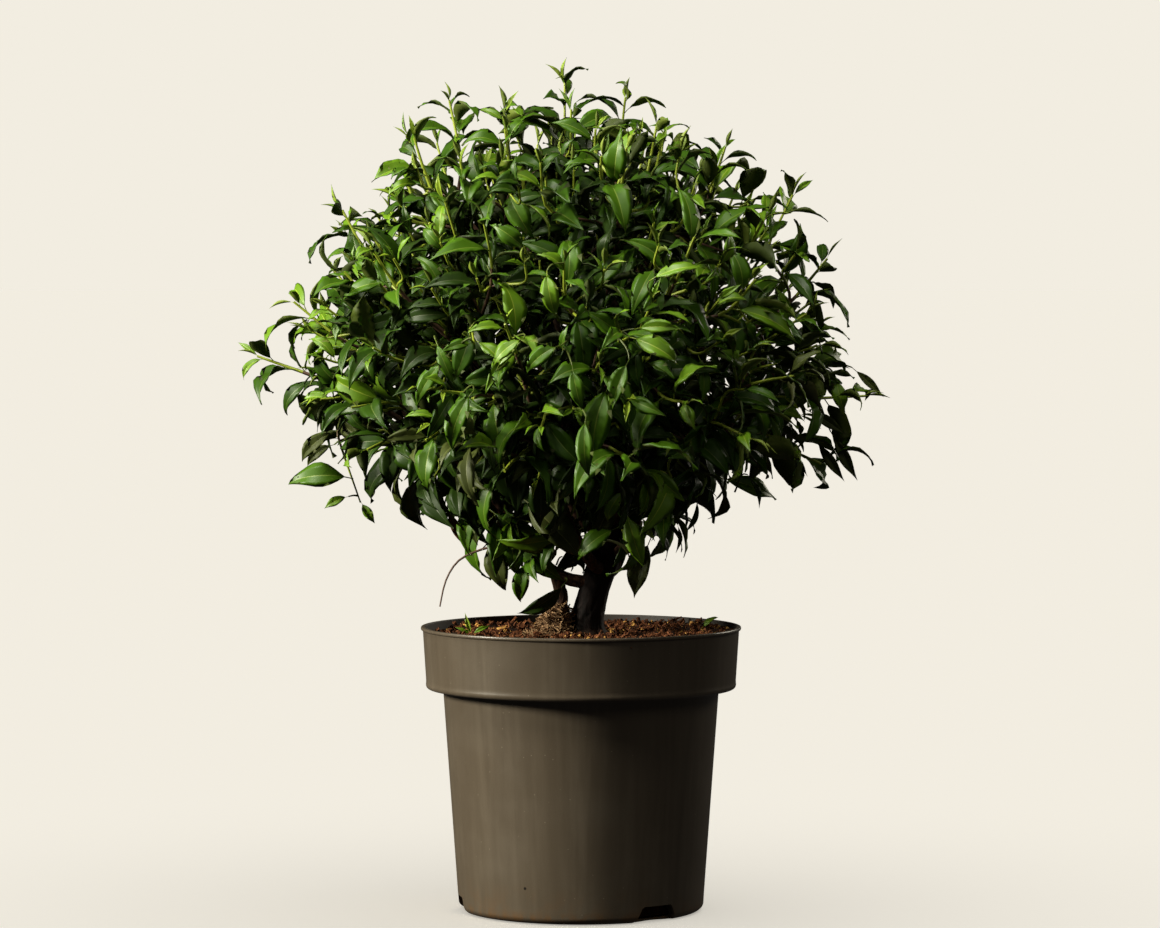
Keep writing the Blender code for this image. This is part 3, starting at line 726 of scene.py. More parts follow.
def mound_mesh(name):
    """A lumpy leaning skirt of rings round the stem's foot."""
    verts = []
    for up, radius in MOUND_RINGS:
        for j in range(MOUND_SIDES):
            turn = math.tau * j / MOUND_SIDES
            place = Vector((math.cos(turn), math.sin(turn), up * MOUND_LUMP_RISE))
            out = radius + MOUND_LUMPS * noise.noise(place * MOUND_LUMP_SCALE)
            verts.append((MOUND_PLACE[0] + MOUND_LEAN * up + out * math.cos(turn),
                          MOUND_PLACE[1] + out * math.sin(turn), MIX_HIGH.z + up))
    return from_lists(name, verts, [], tube_faces(len(MOUND_RINGS), MOUND_SIDES))


mound = mound_mesh("fibre_mound")
mound.data.materials.append(crumb_finish("fibre_mound_brown", *MOUND_BROWNS, scale=330.0))
smooth_shaded(mound, sharp_degrees=80)
forms = chip_forms(*FIBRE_SHARES, seed=5)
fibres = grow_through(mound_mesh("root_fibres"), scatter, scatter_names, {
    "Chips": forms, "Density": FIBRE_DENSITY, "Smallest": 0.0050, "Largest": 0.0150,
    "Seed": 21, "Finish": crumb_finish("root_fibre_tan", *FIBRE_TANS, scale=420.0)})
clear_collection(forms)
for made in (mound, fibres):
    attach(made, "root")
    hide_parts("potting_mix")
print("mound:", len(mound.data.polygons), "faces, fibres:", len(fibres.data.polygons))

# %% [markdown]
# The wood follows the same course as the solids. The trunk is a run of named points with a
# radius at each, smoothed into a curve. Each bough is a curve from a height on the trunk to the
# foot of its mass, worked out from the ring that the mass belongs to. The numbers are the
# solids' own, so the bark lies on them.

# %% Places along the trunk and the second stem
GAP = 0.0003
MIX_TOP = MIX_HIGH.z
FOOT = MIX_TOP + GAP
TRUNK = [
    (0.006, 0.000, FOOT, 0.0215),
    (0.006, 0.000, FOOT + 0.006, 0.0185),
    (0.007, 0.000, FOOT + 0.018, 0.0162),
    (0.014, 0.001, FOOT + 0.048, 0.0150),
    (0.024, 0.003, 0.3535, 0.0155),
    (0.031, 0.006, 0.3955, 0.0125),
    (0.024, 0.008, 0.4435, 0.0095),
    (0.006, 0.006, 0.5035, 0.0065),
]
SECOND_STEM = [
    (-0.0275, -0.006, FOOT, 0.0105),
    (-0.0275, -0.006, FOOT + 0.005, 0.0088),
    (-0.0235, -0.006, FOOT + 0.022, 0.0074),
    (-0.0200, -0.006, FOOT + 0.042, 0.0070),
]
# How far the stem's end lies along a piece of the first low bough, and its radius there
SECOND_STEM_JOINT = 0.55
SECOND_STEM_END = 0.0045
LIMB_PIECES = 3
print("trunk from", round(FOOT, 4), "to", TRUNK[-1][2])

# %% Sizes of the crown and its boughs
CROWN = Vector((-0.016, 0.0, 0.5595))
CROWN_RADIUS = 0.284
CROWN_RISE = 0.272
CONE_FOOT = 0.3215
CONE_FOOT_RADIUS = 0.045
CONE_SLOPE = 2.1
# Name, count, first turn, rise, lowest and highest start on the trunk, slope, tip out and up
RINGS = [
    ("skirt", 5, 188, -24, 0.3255, 0.3555, 0.0, 0.112, 0.4535),
    ("belly", 5, 224, 12, 0.3695, 0.3995, 0.45, 0.100, 0.5335),
    ("shoulder", 4, 216, 48, 0.4135, 0.4585, 0.9, 0.062, 0.6035),
]
CENTRE_REACH = 0.62
BOUGH_RADIUS = 0.0072
BOUGH_TIP_RADIUS = 0.0040
BOUGH_SEGMENTS = 6
BOUGH_TAPER_POWER = 0.8
STRAIGHT_END = 0.004
CURVE_HANDLE = 0.38
print("rings of boughs:", [ring[0] for ring in RINGS])


# %% Curves through the wood
def smooth(points, pieces):
    """A smooth run through points of x, y, z and radius, whose first piece stays upright."""
    padded = [points[1], *points[1:], points[-1]]
    run = [points[0]]
    for a, b, c, d in zip(padded, padded[1:], padded[2:], padded[3:]):
        for step in range(pieces):
            t = step / pieces
            run.append(tuple(
                0.5 * (2 * q + (r - p) * t + (2 * p - 5 * q + 4 * r - s) * t ** 2
                       + (3 * q - p - 3 * r + s) * t ** 3)
                for p, q, r, s in zip(a, b, c, d)))
    run.append(tuple(points[-1]))
    return run


def bezier(start, leave, arrive, end, pieces):
    """Points from start to end, leaving and arriving along two directions."""
    reach = (end - start).length * CURVE_HANDLE
    first = start + leave.normalized() * reach
    last = end - arrive.normalized() * reach
    run = []
    for step in range(pieces + 1):
        t = step / pieces
        s = 1.0 - t
        run.append(start * s ** 3 + first * (3 * s * s * t) + last * (3 * s * t * t) + end * t ** 3)
    return run


def at_height(run, height):
    """The point of an upright limb's axis at a height."""
    for a, b in zip(run, run[1:]):
        if a[2] <= height <= b[2]:
            t = (height - a[2]) / (b[2] - a[2])
            return Vector(a[:3]).lerp(Vector(b[:3]), t)
    return Vector(run[-1][:3])


def flat(turn, out, up):
    """A point or direction at a turn round the crown's axis."""
    return Vector((math.cos(turn) * out, math.sin(turn) * out, up))


# %% Plan of the crown
def envelope(direction):
    """How far the crown reaches from its centre in a direction."""
    flat_part = math.hypot(direction.x, direction.y)
    ellipsoid = 1.0 / math.sqrt((flat_part / CROWN_RADIUS) ** 2 + (direction.z / CROWN_RISE) ** 2)
    narrowing = flat_part - CONE_SLOPE * direction.z
    if narrowing <= 0.0:
        return ellipsoid
    cone = (CONE_FOOT_RADIUS + CONE_SLOPE * (CROWN.z - CONE_FOOT)) / narrowing
    return min(ellipsoid, cone)


def bough_run(trunk_run, leave, slope, turn, tip, aim, segments):
    """The course of a bough from the trunk's axis to its tip, with its taper."""
    start = at_height(trunk_run, leave)
    neck = tip - aim * STRAIGHT_END
    points = bezier(start, flat(turn, 1.0, slope), aim, neck, segments)
    run = []
    for i, p in enumerate(points):
        t = (i / segments) ** BOUGH_TAPER_POWER
        run.append((*p, BOUGH_RADIUS + (BOUGH_TIP_RADIUS - BOUGH_RADIUS) * t))
    run.append((*tip, BOUGH_TIP_RADIUS))
    return run


def plan_crown(trunk_run, segments):
    """Centre of every mass, and its bough's tip, direction at the tip, and course."""
    plan = []
    for ring, count, first, rise, low, high, slope, out, up in RINGS:
        for i in range(count):
            turn = math.radians(first) + i * math.tau / count
            direction = flat(turn, math.cos(math.radians(rise)), math.sin(math.radians(rise)))
            centre = CROWN + direction * envelope(direction) * CENTRE_REACH
            tip = Vector((CROWN.x, CROWN.y, 0.0)) + flat(turn, out, up)
            order = (i * 2) % count
            leave = low + (high - low) * order / (count - 1)
            aim = (centre - tip).normalized()
            run = bough_run(trunk_run, leave, slope, turn, tip, aim, segments)
            plan.append((f"{ring}_{i + 1}", centre, tip, aim, run))
    top = CROWN + Vector((0.0, 0.0, CROWN_RISE * CENTRE_REACH))
    before, end = [Vector(point[:3]) for point in trunk_run[-2:]]
    plan.append(("top", top, end, (end - before).normalized(), None))
    return plan


trunk_run = smooth(TRUNK, LIMB_PIECES)
plan = plan_crown(trunk_run, BOUGH_SEGMENTS)
print("boughs:", len(plan) - 1)

# %% [markdown]
# Bark is relief as well as colour. A limb is a tube of rings, and every point of a ring is
# pushed in or out along its radius: long cracks from noise stretched along the limb, lumps from
# wider noise, and on the trunk a few broad ribs that swell into the root flare. Working in code
# keeps the relief tied to the limb's own direction, which a displacement texture would not.

# %% Even steps along a limb
DENSE_RUN = 20
DENSE_PIECES = 6


def resampled(run, step):
    """A run of x, y, z and radius at even steps along a smooth curve through it."""
    fine = smooth([run[0], *run], DENSE_PIECES) if len(run) < DENSE_RUN else run
    points = np.array(fine)
    sides = np.linalg.norm(np.diff(points[:, :3], axis=0), axis=1)
    lengths = np.concatenate([[0.0], np.cumsum(sides)])
    keep = np.concatenate([[True], np.diff(lengths) > 1e-7])
    points, lengths = points[keep], lengths[keep]
    at = np.linspace(0.0, lengths[-1], max(int(lengths[-1] / step), 2) + 1)
    return np.stack([np.interp(at, lengths, points[:, k]) for k in range(4)], axis=1), at


def ring_frames(points):
    """Two axes across a curve at each point, carried along it without twisting."""
    tangents = np.gradient(points[:, :3], axis=0)
    tangents /= np.linalg.norm(tangents, axis=1)[:, None]
    across = Vector(tangents[0]).orthogonal().normalized()
    frames = []
    for tangent in tangents:
        t = Vector(tangent)
        across = (across - t * across.dot(t)).normalized()
        frames.append((across.copy(), t.cross(across)))
    return frames


# %% Tube with the bark's relief
# Scale round the limb and along it of the noise for each kind of relief, and its depth
CRACK_SCALES, CRACK_DEPTH = (4.2, 38.0), 0.9
GRAIN_SCALES, GRAIN_DEPTH = (11.0, 120.0), 0.35
LUMP_SCALES, LUMP_DEPTH = (1.3, 26.0), 0.55
CRACK_WIDTH = 0.16
RIBS = 5
FLARE_HEIGHT = 0.016


def bark_tube(run, sides, step, relief, seed, flare=0.0):
    """Points and faces of a limb whose surface carries cracks and lumps."""
    points, at = resampled(run, step)
    verts = []
    for k, ((x, y, z, radius), (first, second)) in enumerate(zip(points, ring_frames(points))):
        for j in range(sides):
            turn = math.tau * j / sides
            out = first * math.cos(turn) + second * math.sin(turn)
            crack, grain, lump = [
                noise.noise(out * round_it + Vector((*start, at[k] * along_it)))
                for (round_it, along_it), start in (
                    (CRACK_SCALES, (seed, 0.0)), (GRAIN_SCALES, (0.0, seed)),
                    (LUMP_SCALES, (seed, seed)))]
            crack = max(0.0, CRACK_WIDTH - abs(crack)) / CRACK_WIDTH
            push = relief * (LUMP_DEPTH * lump - CRACK_DEPTH * crack + GRAIN_DEPTH * grain)
            rib = max(0.0, math.sin(turn * RIBS + seed)) ** 2
            ribs = flare * math.exp(-at[k] / FLARE_HEIGHT) * rib
            verts.append(Vector((x, y, z)) + out * (radius * (1.0 + ribs) + push))
    ends = [tuple(reversed(range(sides))), tuple(range(len(verts) - sides, len(verts)))]
    return verts, tube_faces(len(points), sides) + ends


def joined_mesh(name, parts):
    """Several lists of points and faces as one mesh object."""
    verts, faces = [], []
    for more_verts, more_faces in parts:
        faces += [tuple(i + len(verts) for i in face) for face in more_faces]
        verts += more_verts
    return from_lists(name, verts, [], faces)


# %% Trunk, second stem and boughs
# Sides, step along the limb, relief, seed of its noise and swelling of the ribs at the foot
TRUNK_TUBE = (56, 0.0022, 0.0011, 3.0, 0.22)
STEM_TUBE = (30, 0.0018, 0.0010, 8.0, 1.1)
BOUGH_TUBE = (16, 0.0035, 0.00045)
FIRST_BOUGH_SEED = 20.0

trunk = joined_mesh("trunk_bark", [bark_tube(trunk_run, *TRUNK_TUBE)])
joint_run = plan[0][4]
joint = Vector(joint_run[1][:3]).lerp(Vector(joint_run[2][:3]), SECOND_STEM_JOINT)
stem_run = smooth([*SECOND_STEM, (*joint, SECOND_STEM_END)], LIMB_PIECES)
limb_parts = [bark_tube(stem_run, *STEM_TUBE)]
for i, (*_, run) in enumerate(plan[:-1]):
    limb_parts.append(bark_tube(run, *BOUGH_TUBE, FIRST_BOUGH_SEED + i))
boughs = joined_mesh("bough_bark", limb_parts)
for made in (trunk, boughs):
    smooth_shaded(made, sharp_degrees=70)
print("trunk:", len(trunk.data.polygons), "faces, boughs:", len(boughs.data.polygons))

# %% Finish of the bark
BARK_CRACK = (0.004, 0.003, 0.002)
# Brown, tan near the ground, and how far up the tan goes; the trunk's dark bark is darkened further
# as painted shade
TRUNK_BARK_SHADED = ((0.011, 0.006, 0.005), (0.050, 0.028, 0.016), MIX_TOP + 0.012)
BOUGH_BARK = ((0.095, 0.046, 0.027), (0.300, 0.185, 0.095), MIX_TOP + 0.034)


def bark_finish(name, brown, tan, tan_height):
    """Dark brown bark with black cracks, and tan fibres near the ground."""
    made, tree, shader = new_material(name, brown, 0.85, 0.2)
    plates = noise_in(tree, 260.0, 8.0, 0.28, Roughness=0.65)
    colour = blended(tree, spread(tree, plates, 0.38, 0.60), BARK_CRACK, brown)
    low = spread(tree, height_in(tree), MIX_TOP, tan_height, 1.0, 0.0)
    patches = spread(tree, noise_in(tree, 46.0, 5.0), 0.42, 0.58)
    colour = blended(tree, product(tree, low, patches), colour, tan)
    colour_and_relief(tree, shader, colour, plates, 0.8, 0.0009)
    return made


trunk.data.materials.append(bark_finish("trunk_brown", *TRUNK_BARK_SHADED))
boughs.data.materials.append(bark_finish("bough_brown", *BOUGH_BARK))
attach(trunk, "root")
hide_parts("trunk")
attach(boughs, "root")
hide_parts(*[n for n in wood_nodes if n != "trunk"])
print("bark finishes:", [made.data.materials[0].name for made in (trunk, boughs)])

# %% [markdown]
# Every mass of foliage keeps to its own space, the part of the crown that is nearer to its
# centre than to any other. The shoots' tips are spread over the crown by a seeded spiral, and
# the leaders that stand out of the outline have angles and reaches of their own. That is the
# rule the solids grew by. Here the same tips come first, and finer shoots between them follow.

# %% Outline of the crown
HANG_BELOW_CONE = 0.012
# The crown's outline in the front view: angle up from +X, and reach
OUTLINE = [
    (-82, 0.300), (-70, 0.250), (-64, 0.230), (-58, 0.214), (-52, 0.204), (-45, 0.210),
    (-36, 0.240), (-30, 0.270), (-24, 0.316), (-20, 0.306), (-15, 0.272), (-11, 0.292),
    (-8, 0.322), (-4, 0.298), (2, 0.282), (10, 0.281), (16, 0.266), (23, 0.281), (35, 0.291),
    (40, 0.264), (46, 0.267), (51, 0.275), (58, 0.258), (64, 0.257), (72, 0.264), (77, 0.279),
    (84, 0.270), (91, 0.302), (97, 0.272), (105, 0.266), (114, 0.294), (120, 0.284), (125, 0.280),
    (130, 0.250), (135, 0.240), (141, 0.252), (147, 0.280), (155, 0.260), (164, 0.262),
    (170, 0.279), (178, 0.310), (182, 0.324), (186, 0.302), (190, 0.288), (195, 0.268),
    (198, 0.276), (206, 0.264), (212, 0.238), (218, 0.224), (222, 0.222), (232, 0.217),
    (240, 0.215), (246, 0.224), (252, 0.242), (262, 0.300), (278, 0.300),
]
OUTLINE_ANGLES, OUTLINE_REACHES = zip(*OUTLINE)
LOWEST_ANGLE = OUTLINE_ANGLES[0]


def outline_reach(point):
    """How far inside the front view's outline a point lies, seen from the camera's place."""
    nearness = CAMERA_DISTANCE / (CAMERA_DISTANCE + point.y)
    across = point.x * nearness - CROWN.x
    up = CAMERA_HEIGHT + (point.z - CAMERA_HEIGHT) * nearness - CROWN.z
    angle = (math.degrees(math.atan2(up, across)) - LOWEST_ANGLE) % 360.0 + LOWEST_ANGLE
    limit = np.interp(angle, OUTLINE_ANGLES, OUTLINE_REACHES)
    return float(limit) - math.hypot(across, up)


def in_reach(point, margin=0.0):
    """True inside the outline and above the cone that the crown's underside follows."""
    out = math.hypot(point.x - CROWN.x, point.y - CROWN.y)
    floor_height = CONE_FOOT + (out - CONE_FOOT_RADIUS) / CONE_SLOPE - HANG_BELOW_CONE
    return point.z > floor_height and outline_reach(point) > margin


print("places on the outline:", len(OUTLINE), "widest reach", max(OUTLINE_REACHES))

# %% Rules for the shoots
SPIRAL_LOWEST = -0.62
GOLDEN_TURN = math.radians(137.5)
# Height where the crown starts to count as low, and how far below that it is wholly low
LOW_FROM = CROWN.z + 0.02
LOW_SPAN = 0.16
# Low in the crown the shoots stand this much wider apart
LOW_THINNING = 0.22
SHOOT_LIFT = 1.05
LIFT_FROM = -0.30
LIFT_FULL = 0.60
SOLID_LEAF = 0.078
SHOOT_SETBACK = 0.42
TIP_MARGIN = 0.012


def spiral(count, lowest, first=0.0):
    """Directions in an even spiral over the crown, from its top down."""
    for k in range(count):
        height = 1.0 - (1.0 - lowest) * (k + 0.5) / count
        yield flat(first + k * GOLDEN_TURN, math.sqrt(1.0 - height * height), height)


def lowness(point):
    """0 in the upper half of the crown, rising to 1 near its foot."""
    return min(max((LOW_FROM - point.z) / LOW_SPAN, 0.0), 1.0)


def lean(direction):
    """The way a shoot points at its end: outwards, and mostly up except low in the crown."""
    share = min(max((direction.z - LIFT_FROM) / (LIFT_FULL - LIFT_FROM), 0.0), 1.0)
    return (direction + Vector((0.0, 0.0, SHOOT_LIFT * share))).normalized()


def add_spiral(tips, count, share, spacing, reaches, straight, chance, first=0.0):
    """Adds a spiral of shoots, each at least a spacing from every shoot so far."""
    for direction in spiral(count, SPIRAL_LOWEST, first):
        reach = (envelope(direction) - SOLID_LEAF * SHOOT_SETBACK) * share
        reach *= chance.choice(reaches)
        tip = CROWN + direction * reach
        excess = TIP_MARGIN - outline_reach(tip)
        if excess > 0.0:
            tip -= Vector((direction.x, 0.0, direction.z)).normalized() * excess
        apart = spacing * (1.0 + LOW_THINNING * lowness(tip))
        if all((tip - other).length > apart for other, *_ in tips):
            tips.append((tip, lean(direction), tip, straight))


# %% Where every shoot ends
SEED = 7
# Angle and reach in the front view of each shoot that stands out of the outline
LEADERS = [
    (90, 0.283), (114, 0.290), (104, 0.262), (125, 0.279), (77, 0.276), (53, 0.274),
    (36, 0.289), (21, 0.292), (-8, 0.319), (146, 0.277), (168, 0.290), (180, 0.322),
    (206, 0.308), (222, 0.259), (254, 0.249), (265, 0.255), (-24, 0.316), (-40, 0.240),
    (-57, 0.227), (-70, 0.256),
]
LEADER_DEPTH = (-0.03, 0.02)
LEADER_SETBACK = 0.68
BUD_REACH = 0.018
# Length of a shoot's straight upright end: leaders, other main shoots, finer shoots
LEADER_STRAIGHT = 0.048
MAIN_STRAIGHT = 0.030
FINE_STRAIGHT = 0.014
# Count and share of the crown's reach of the outer and the inner spiral
MAIN_SPIRALS = ((90, 1.0), (18, 0.62))
MAIN_SPACING = 0.058
MAIN_REACHES = (0.94, 0.97, 1.00, 1.03, 1.03, 1.10)
# Count, share of the crown's reach and spacing of each finer spiral
FINER_SPIRALS = [(350, 1.0, 0.036), (230, 0.82, 0.034), (170, 0.62, 0.034)]
FINER_REACHES = (0.86, 0.91, 0.95, 0.99, 1.03)


def shoot_tips():
    """Leaders, then outer and inner spirals, as in the solids."""
    chance = random.Random(SEED)
    tips = []
    for angle, reach in LEADERS:
        turn = math.radians(angle)
        direction = Vector((math.cos(turn), 0.0, math.sin(turn)))
        tip = CROWN + direction * (reach - SOLID_LEAF * LEADER_SETBACK)
        tip.y += chance.uniform(*LEADER_DEPTH)
        end = CROWN + direction * reach - lean(direction) * BUD_REACH
        end.y = tip.y
        tips.append((tip, lean(direction), end, LEADER_STRAIGHT))
    for count, share in MAIN_SPIRALS:
        add_spiral(tips, count, share, MAIN_SPACING, MAIN_REACHES, MAIN_STRAIGHT, chance)
    return tips


main_tips = shoot_tips()
all_tips = list(main_tips)
fine_chance = random.Random(SEED + 1)
for turn, (count, share, spacing) in enumerate(FINER_SPIRALS, 1):
    add_spiral(all_tips, count, share, spacing, FINER_REACHES, FINE_STRAIGHT, fine_chance, turn)
fine_tips = all_tips[len(main_tips):]
print("main shoots:", len(main_tips), "finer shoots:", len(fine_tips))

# %% Space of a mass
WALL_CLEARANCE = 0.0006


class Space:
    """The part of the crown nearer to one centre than to any other."""

    def __init__(self, centre, others):
        self.walls = [((other - centre).normalized(), (centre + other) / 2) for other in others]

    def holds(self, point):
        """True for a point in the space and a little clear of its walls."""
        return all((point - middle).dot(across) < -WALL_CLEARANCE
                   for across, middle in self.walls)


centres = [centre for _, centre, *_ in plan]
spaces = [Space(centre, [other for other in centres if other is not centre])
          for centre in centres]


def solid_tree(name):
    """A solid's surface, for finding the place on it that is nearest to a point."""
    mesh = frame["nodes"][name].data
    return BVHTree.FromPolygons([v.co for v in mesh.vertices],
                                [tuple(p.vertices) for p in mesh.polygons])


limbs = [solid_tree(name) for name in wood_nodes]
print("spaces:", len(spaces), "limbs to keep clear of:", len(limbs))

# %% [markdown]
# A twig leaves the wood where that costs least: a short way, a small bend and a short path back
# to the bough. The solids' twigs are drawn with two straight pieces each, and here the same
# curves have eight. Real shoots end in a straight length that turns up to the light, and the
# leaders that make the crown's outline have the longest.

# %% One twig
class Twig:
    """A tapering twig through points, with the length of wood below its foot."""

    def __init__(self, points, foot_radius, tip_radius, below):
        self.points = points
        self.lengths = [0.0]
        for a, b in zip(points, points[1:]):
            self.lengths.append(self.lengths[-1] + (b - a).length)
        self.length = self.lengths[-1]
        self.end = self.length
        self.foot_radius = foot_radius
        self.tip_radius = tip_radius
        self.below = below
        self.leads = False
        self.bare = False

    def at(self, distance):
        """Point and direction at a distance from the foot."""
        for i in range(len(self.points) - 1):
            if distance <= self.lengths[i + 1] or i == len(self.points) - 2:
                side = self.points[i + 1] - self.points[i]
                t = (distance - self.lengths[i]) / side.length
                return self.points[i] + side * t, side.normalized()

    def radius(self, distance):
        """Radius at a distance from the foot."""
        return self.foot_radius + (self.tip_radius - self.foot_radius) * distance / self.length


# %% Twigs that branch by the solids' rule
TWIG_PIECES = 8
STEM_RADIUS = 0.0040
TWIG_RADIUS = 0.0025
FINE_TWIG_RADIUS = 0.0022
TWIG_TIP_RADIUS = 0.0012
TWIG_CLEARANCE = 0.0015
NEARNESS_WEIGHT = 2.0
FORK_TAPER = 0.85
# Shares of a twig's length where others may leave it, by bends between two limits in radians
FORK_PLACES = (0.12, 0.24, 0.36, 0.48, 0.60, 0.72)
FORK_BENDS = (0.25, 1.9)
FORK_FOLLOWS = 0.6
PATH_WEIGHT = 0.55
BEND_WEIGHT = 0.35
HOOK_WEIGHT = 0.30
# A turn into the straight end counts as a hook from here, and a twig arrives this far forwards
HOOK_FROM = 0.9
LEAST_FORWARDS = 0.3


def clear_of_limbs(points, distance):
    """True if every point keeps a distance from the solid wood."""
    return not any(tree.find_nearest(p, distance)[0] for p in points for tree in limbs)


def allowed(points, space, straight):
    """Leaders may lean over a neighbour's space, other twigs keep to their own."""
    inside = straight == LEADER_STRAIGHT or all(space.holds(p) for p in points)
    return inside and clear_of_limbs(points[2:], TWIG_RADIUS + TWIG_CLEARANCE)


def grow_twigs(foot, aim, tips, finer, space):
    """A stem from the bough's tip, then each shoot from the cheapest place on the wood so far."""
    main = min(tips, key=lambda end: (
        aim.angle(end[0] - foot) - NEARNESS_WEIGHT * (end[0] - foot).length))
    neck = foot + aim * STRAIGHT_END
    bend = main[2] - main[1] * main[3]
    points = [foot, *bezier(neck, aim, main[1], bend, TWIG_PIECES), main[2]]
    twigs = [Twig(points, STEM_RADIUS, TWIG_TIP_RADIUS, 0.0)]
    twigs[0].leads = main[3] == LEADER_STRAIGHT
    for tip, arrive, end, straight in [*tips, *finer]:
        if tip is main[0]:
            continue
        offers = []
        bend_at = end - arrive * straight
        for twig in twigs:
            for place in FORK_PLACES:
                along = twig.length * place
                start, direction = twig.at(along)
                way = bend_at - start
                bend = direction.angle(way)
                hook = max(way.angle(arrive) - HOOK_FROM, 0.0) if way.length > 0.0 else 0.0
                cost = way.length * (1.0 + BEND_WEIGHT * bend + HOOK_WEIGHT * hook)
                cost += PATH_WEIGHT * (twig.below + along)
                if FORK_BENDS[0] < bend < FORK_BENDS[1]:
                    offers.append((cost, start, direction, twig, along))
        offers.sort(key=lambda offer: offer[0])
        for _, start, direction, parent, along in offers:
            way = (bend_at - start).normalized()
            arriving = arrive + way * max(LEAST_FORWARDS - arrive.dot(way), 0.0)
            curved = bezier(start, direction * FORK_FOLLOWS + way, arriving, bend_at, TWIG_PIECES)
            plain = bezier(start, way, way, bend_at, TWIG_PIECES)
            fits = [p for p in (curved, plain) if allowed(p, space, straight)]
            if fits:
                thick = min(TWIG_RADIUS if len(twigs) < len(tips) else FINE_TWIG_RADIUS,
                            parent.radius(along) * FORK_TAPER)
                twigs.append(Twig([*fits[0], end], thick, TWIG_TIP_RADIUS, parent.below + along))
                twigs[-1].leads = straight == LEADER_STRAIGHT
                break
    return twigs


twigs = []
for (name, centre, tip, aim, _), space in zip(plan, spaces):
    own = [end for end in main_tips if space.holds(end[0])]
    finer = [end for end in fine_tips if space.holds(end[0])]
    twigs += grow_twigs(tip + aim * GAP, aim, own, finer, space)
print("twigs:", len(twigs), "longest", round(max(t.length for t in twigs), 3))

# %% [markdown]
# Old boughs also carry short sprigs low down, where little light comes. Their leaves are dark
# and hang, and they close the view into the foot of the crown. They start on the bark at even
# steps along each bough, and turn round it at random.

# %% Sprigs on the boughs
SPRIG_STEP = 0.013
SPRIG_START = 0.30
SPRIG_LENGTHS = (0.016, 0.046)
SPRIG_RADIUS = 0.0015
SPRIG_PIECES = 5
# How far a sprig leans along its bough and downwards, and how much its tip hangs
SPRIG_LEAN = 0.5
SPRIG_FALL = Vector((0.0, 0.0, -0.2))
SPRIG_HANG = Vector((0.0, 0.0, -0.8))
SPRIG_SEAT = 0.6
LEAF_CLEARANCE = 0.004


def bough_sprigs():
    """Short twigs at even steps along every bough, turned round it at random."""
    chance = random.Random(SEED + 5)
    sprigs = []
    for *_, run in plan[:-1]:
        points, _ = resampled(run, SPRIG_STEP)
        for k in range(int(len(points) * SPRIG_START), len(points) - 1):
            here = Vector(points[k][:3])
            along = (Vector(points[k + 1][:3]) - here).normalized()
            side = along.orthogonal().normalized()
            turn = chance.uniform(0, math.tau)
            out = side * math.cos(turn) + along.cross(side) * math.sin(turn)
            way = (out + along * SPRIG_LEAN + SPRIG_FALL).normalized()
            end = here + way * chance.uniform(*SPRIG_LENGTHS)
            if in_reach(end) and clear_of_limbs([end], LEAF_CLEARANCE):
                start = here + out * points[k][3] * SPRIG_SEAT
                course = bezier(start, way, way + SPRIG_HANG, end, SPRIG_PIECES)
                sprigs.append(Twig(course, SPRIG_RADIUS, TWIG_TIP_RADIUS, 0.0))
    return sprigs


sprigs = bough_sprigs()
print("sprigs:", len(sprigs))
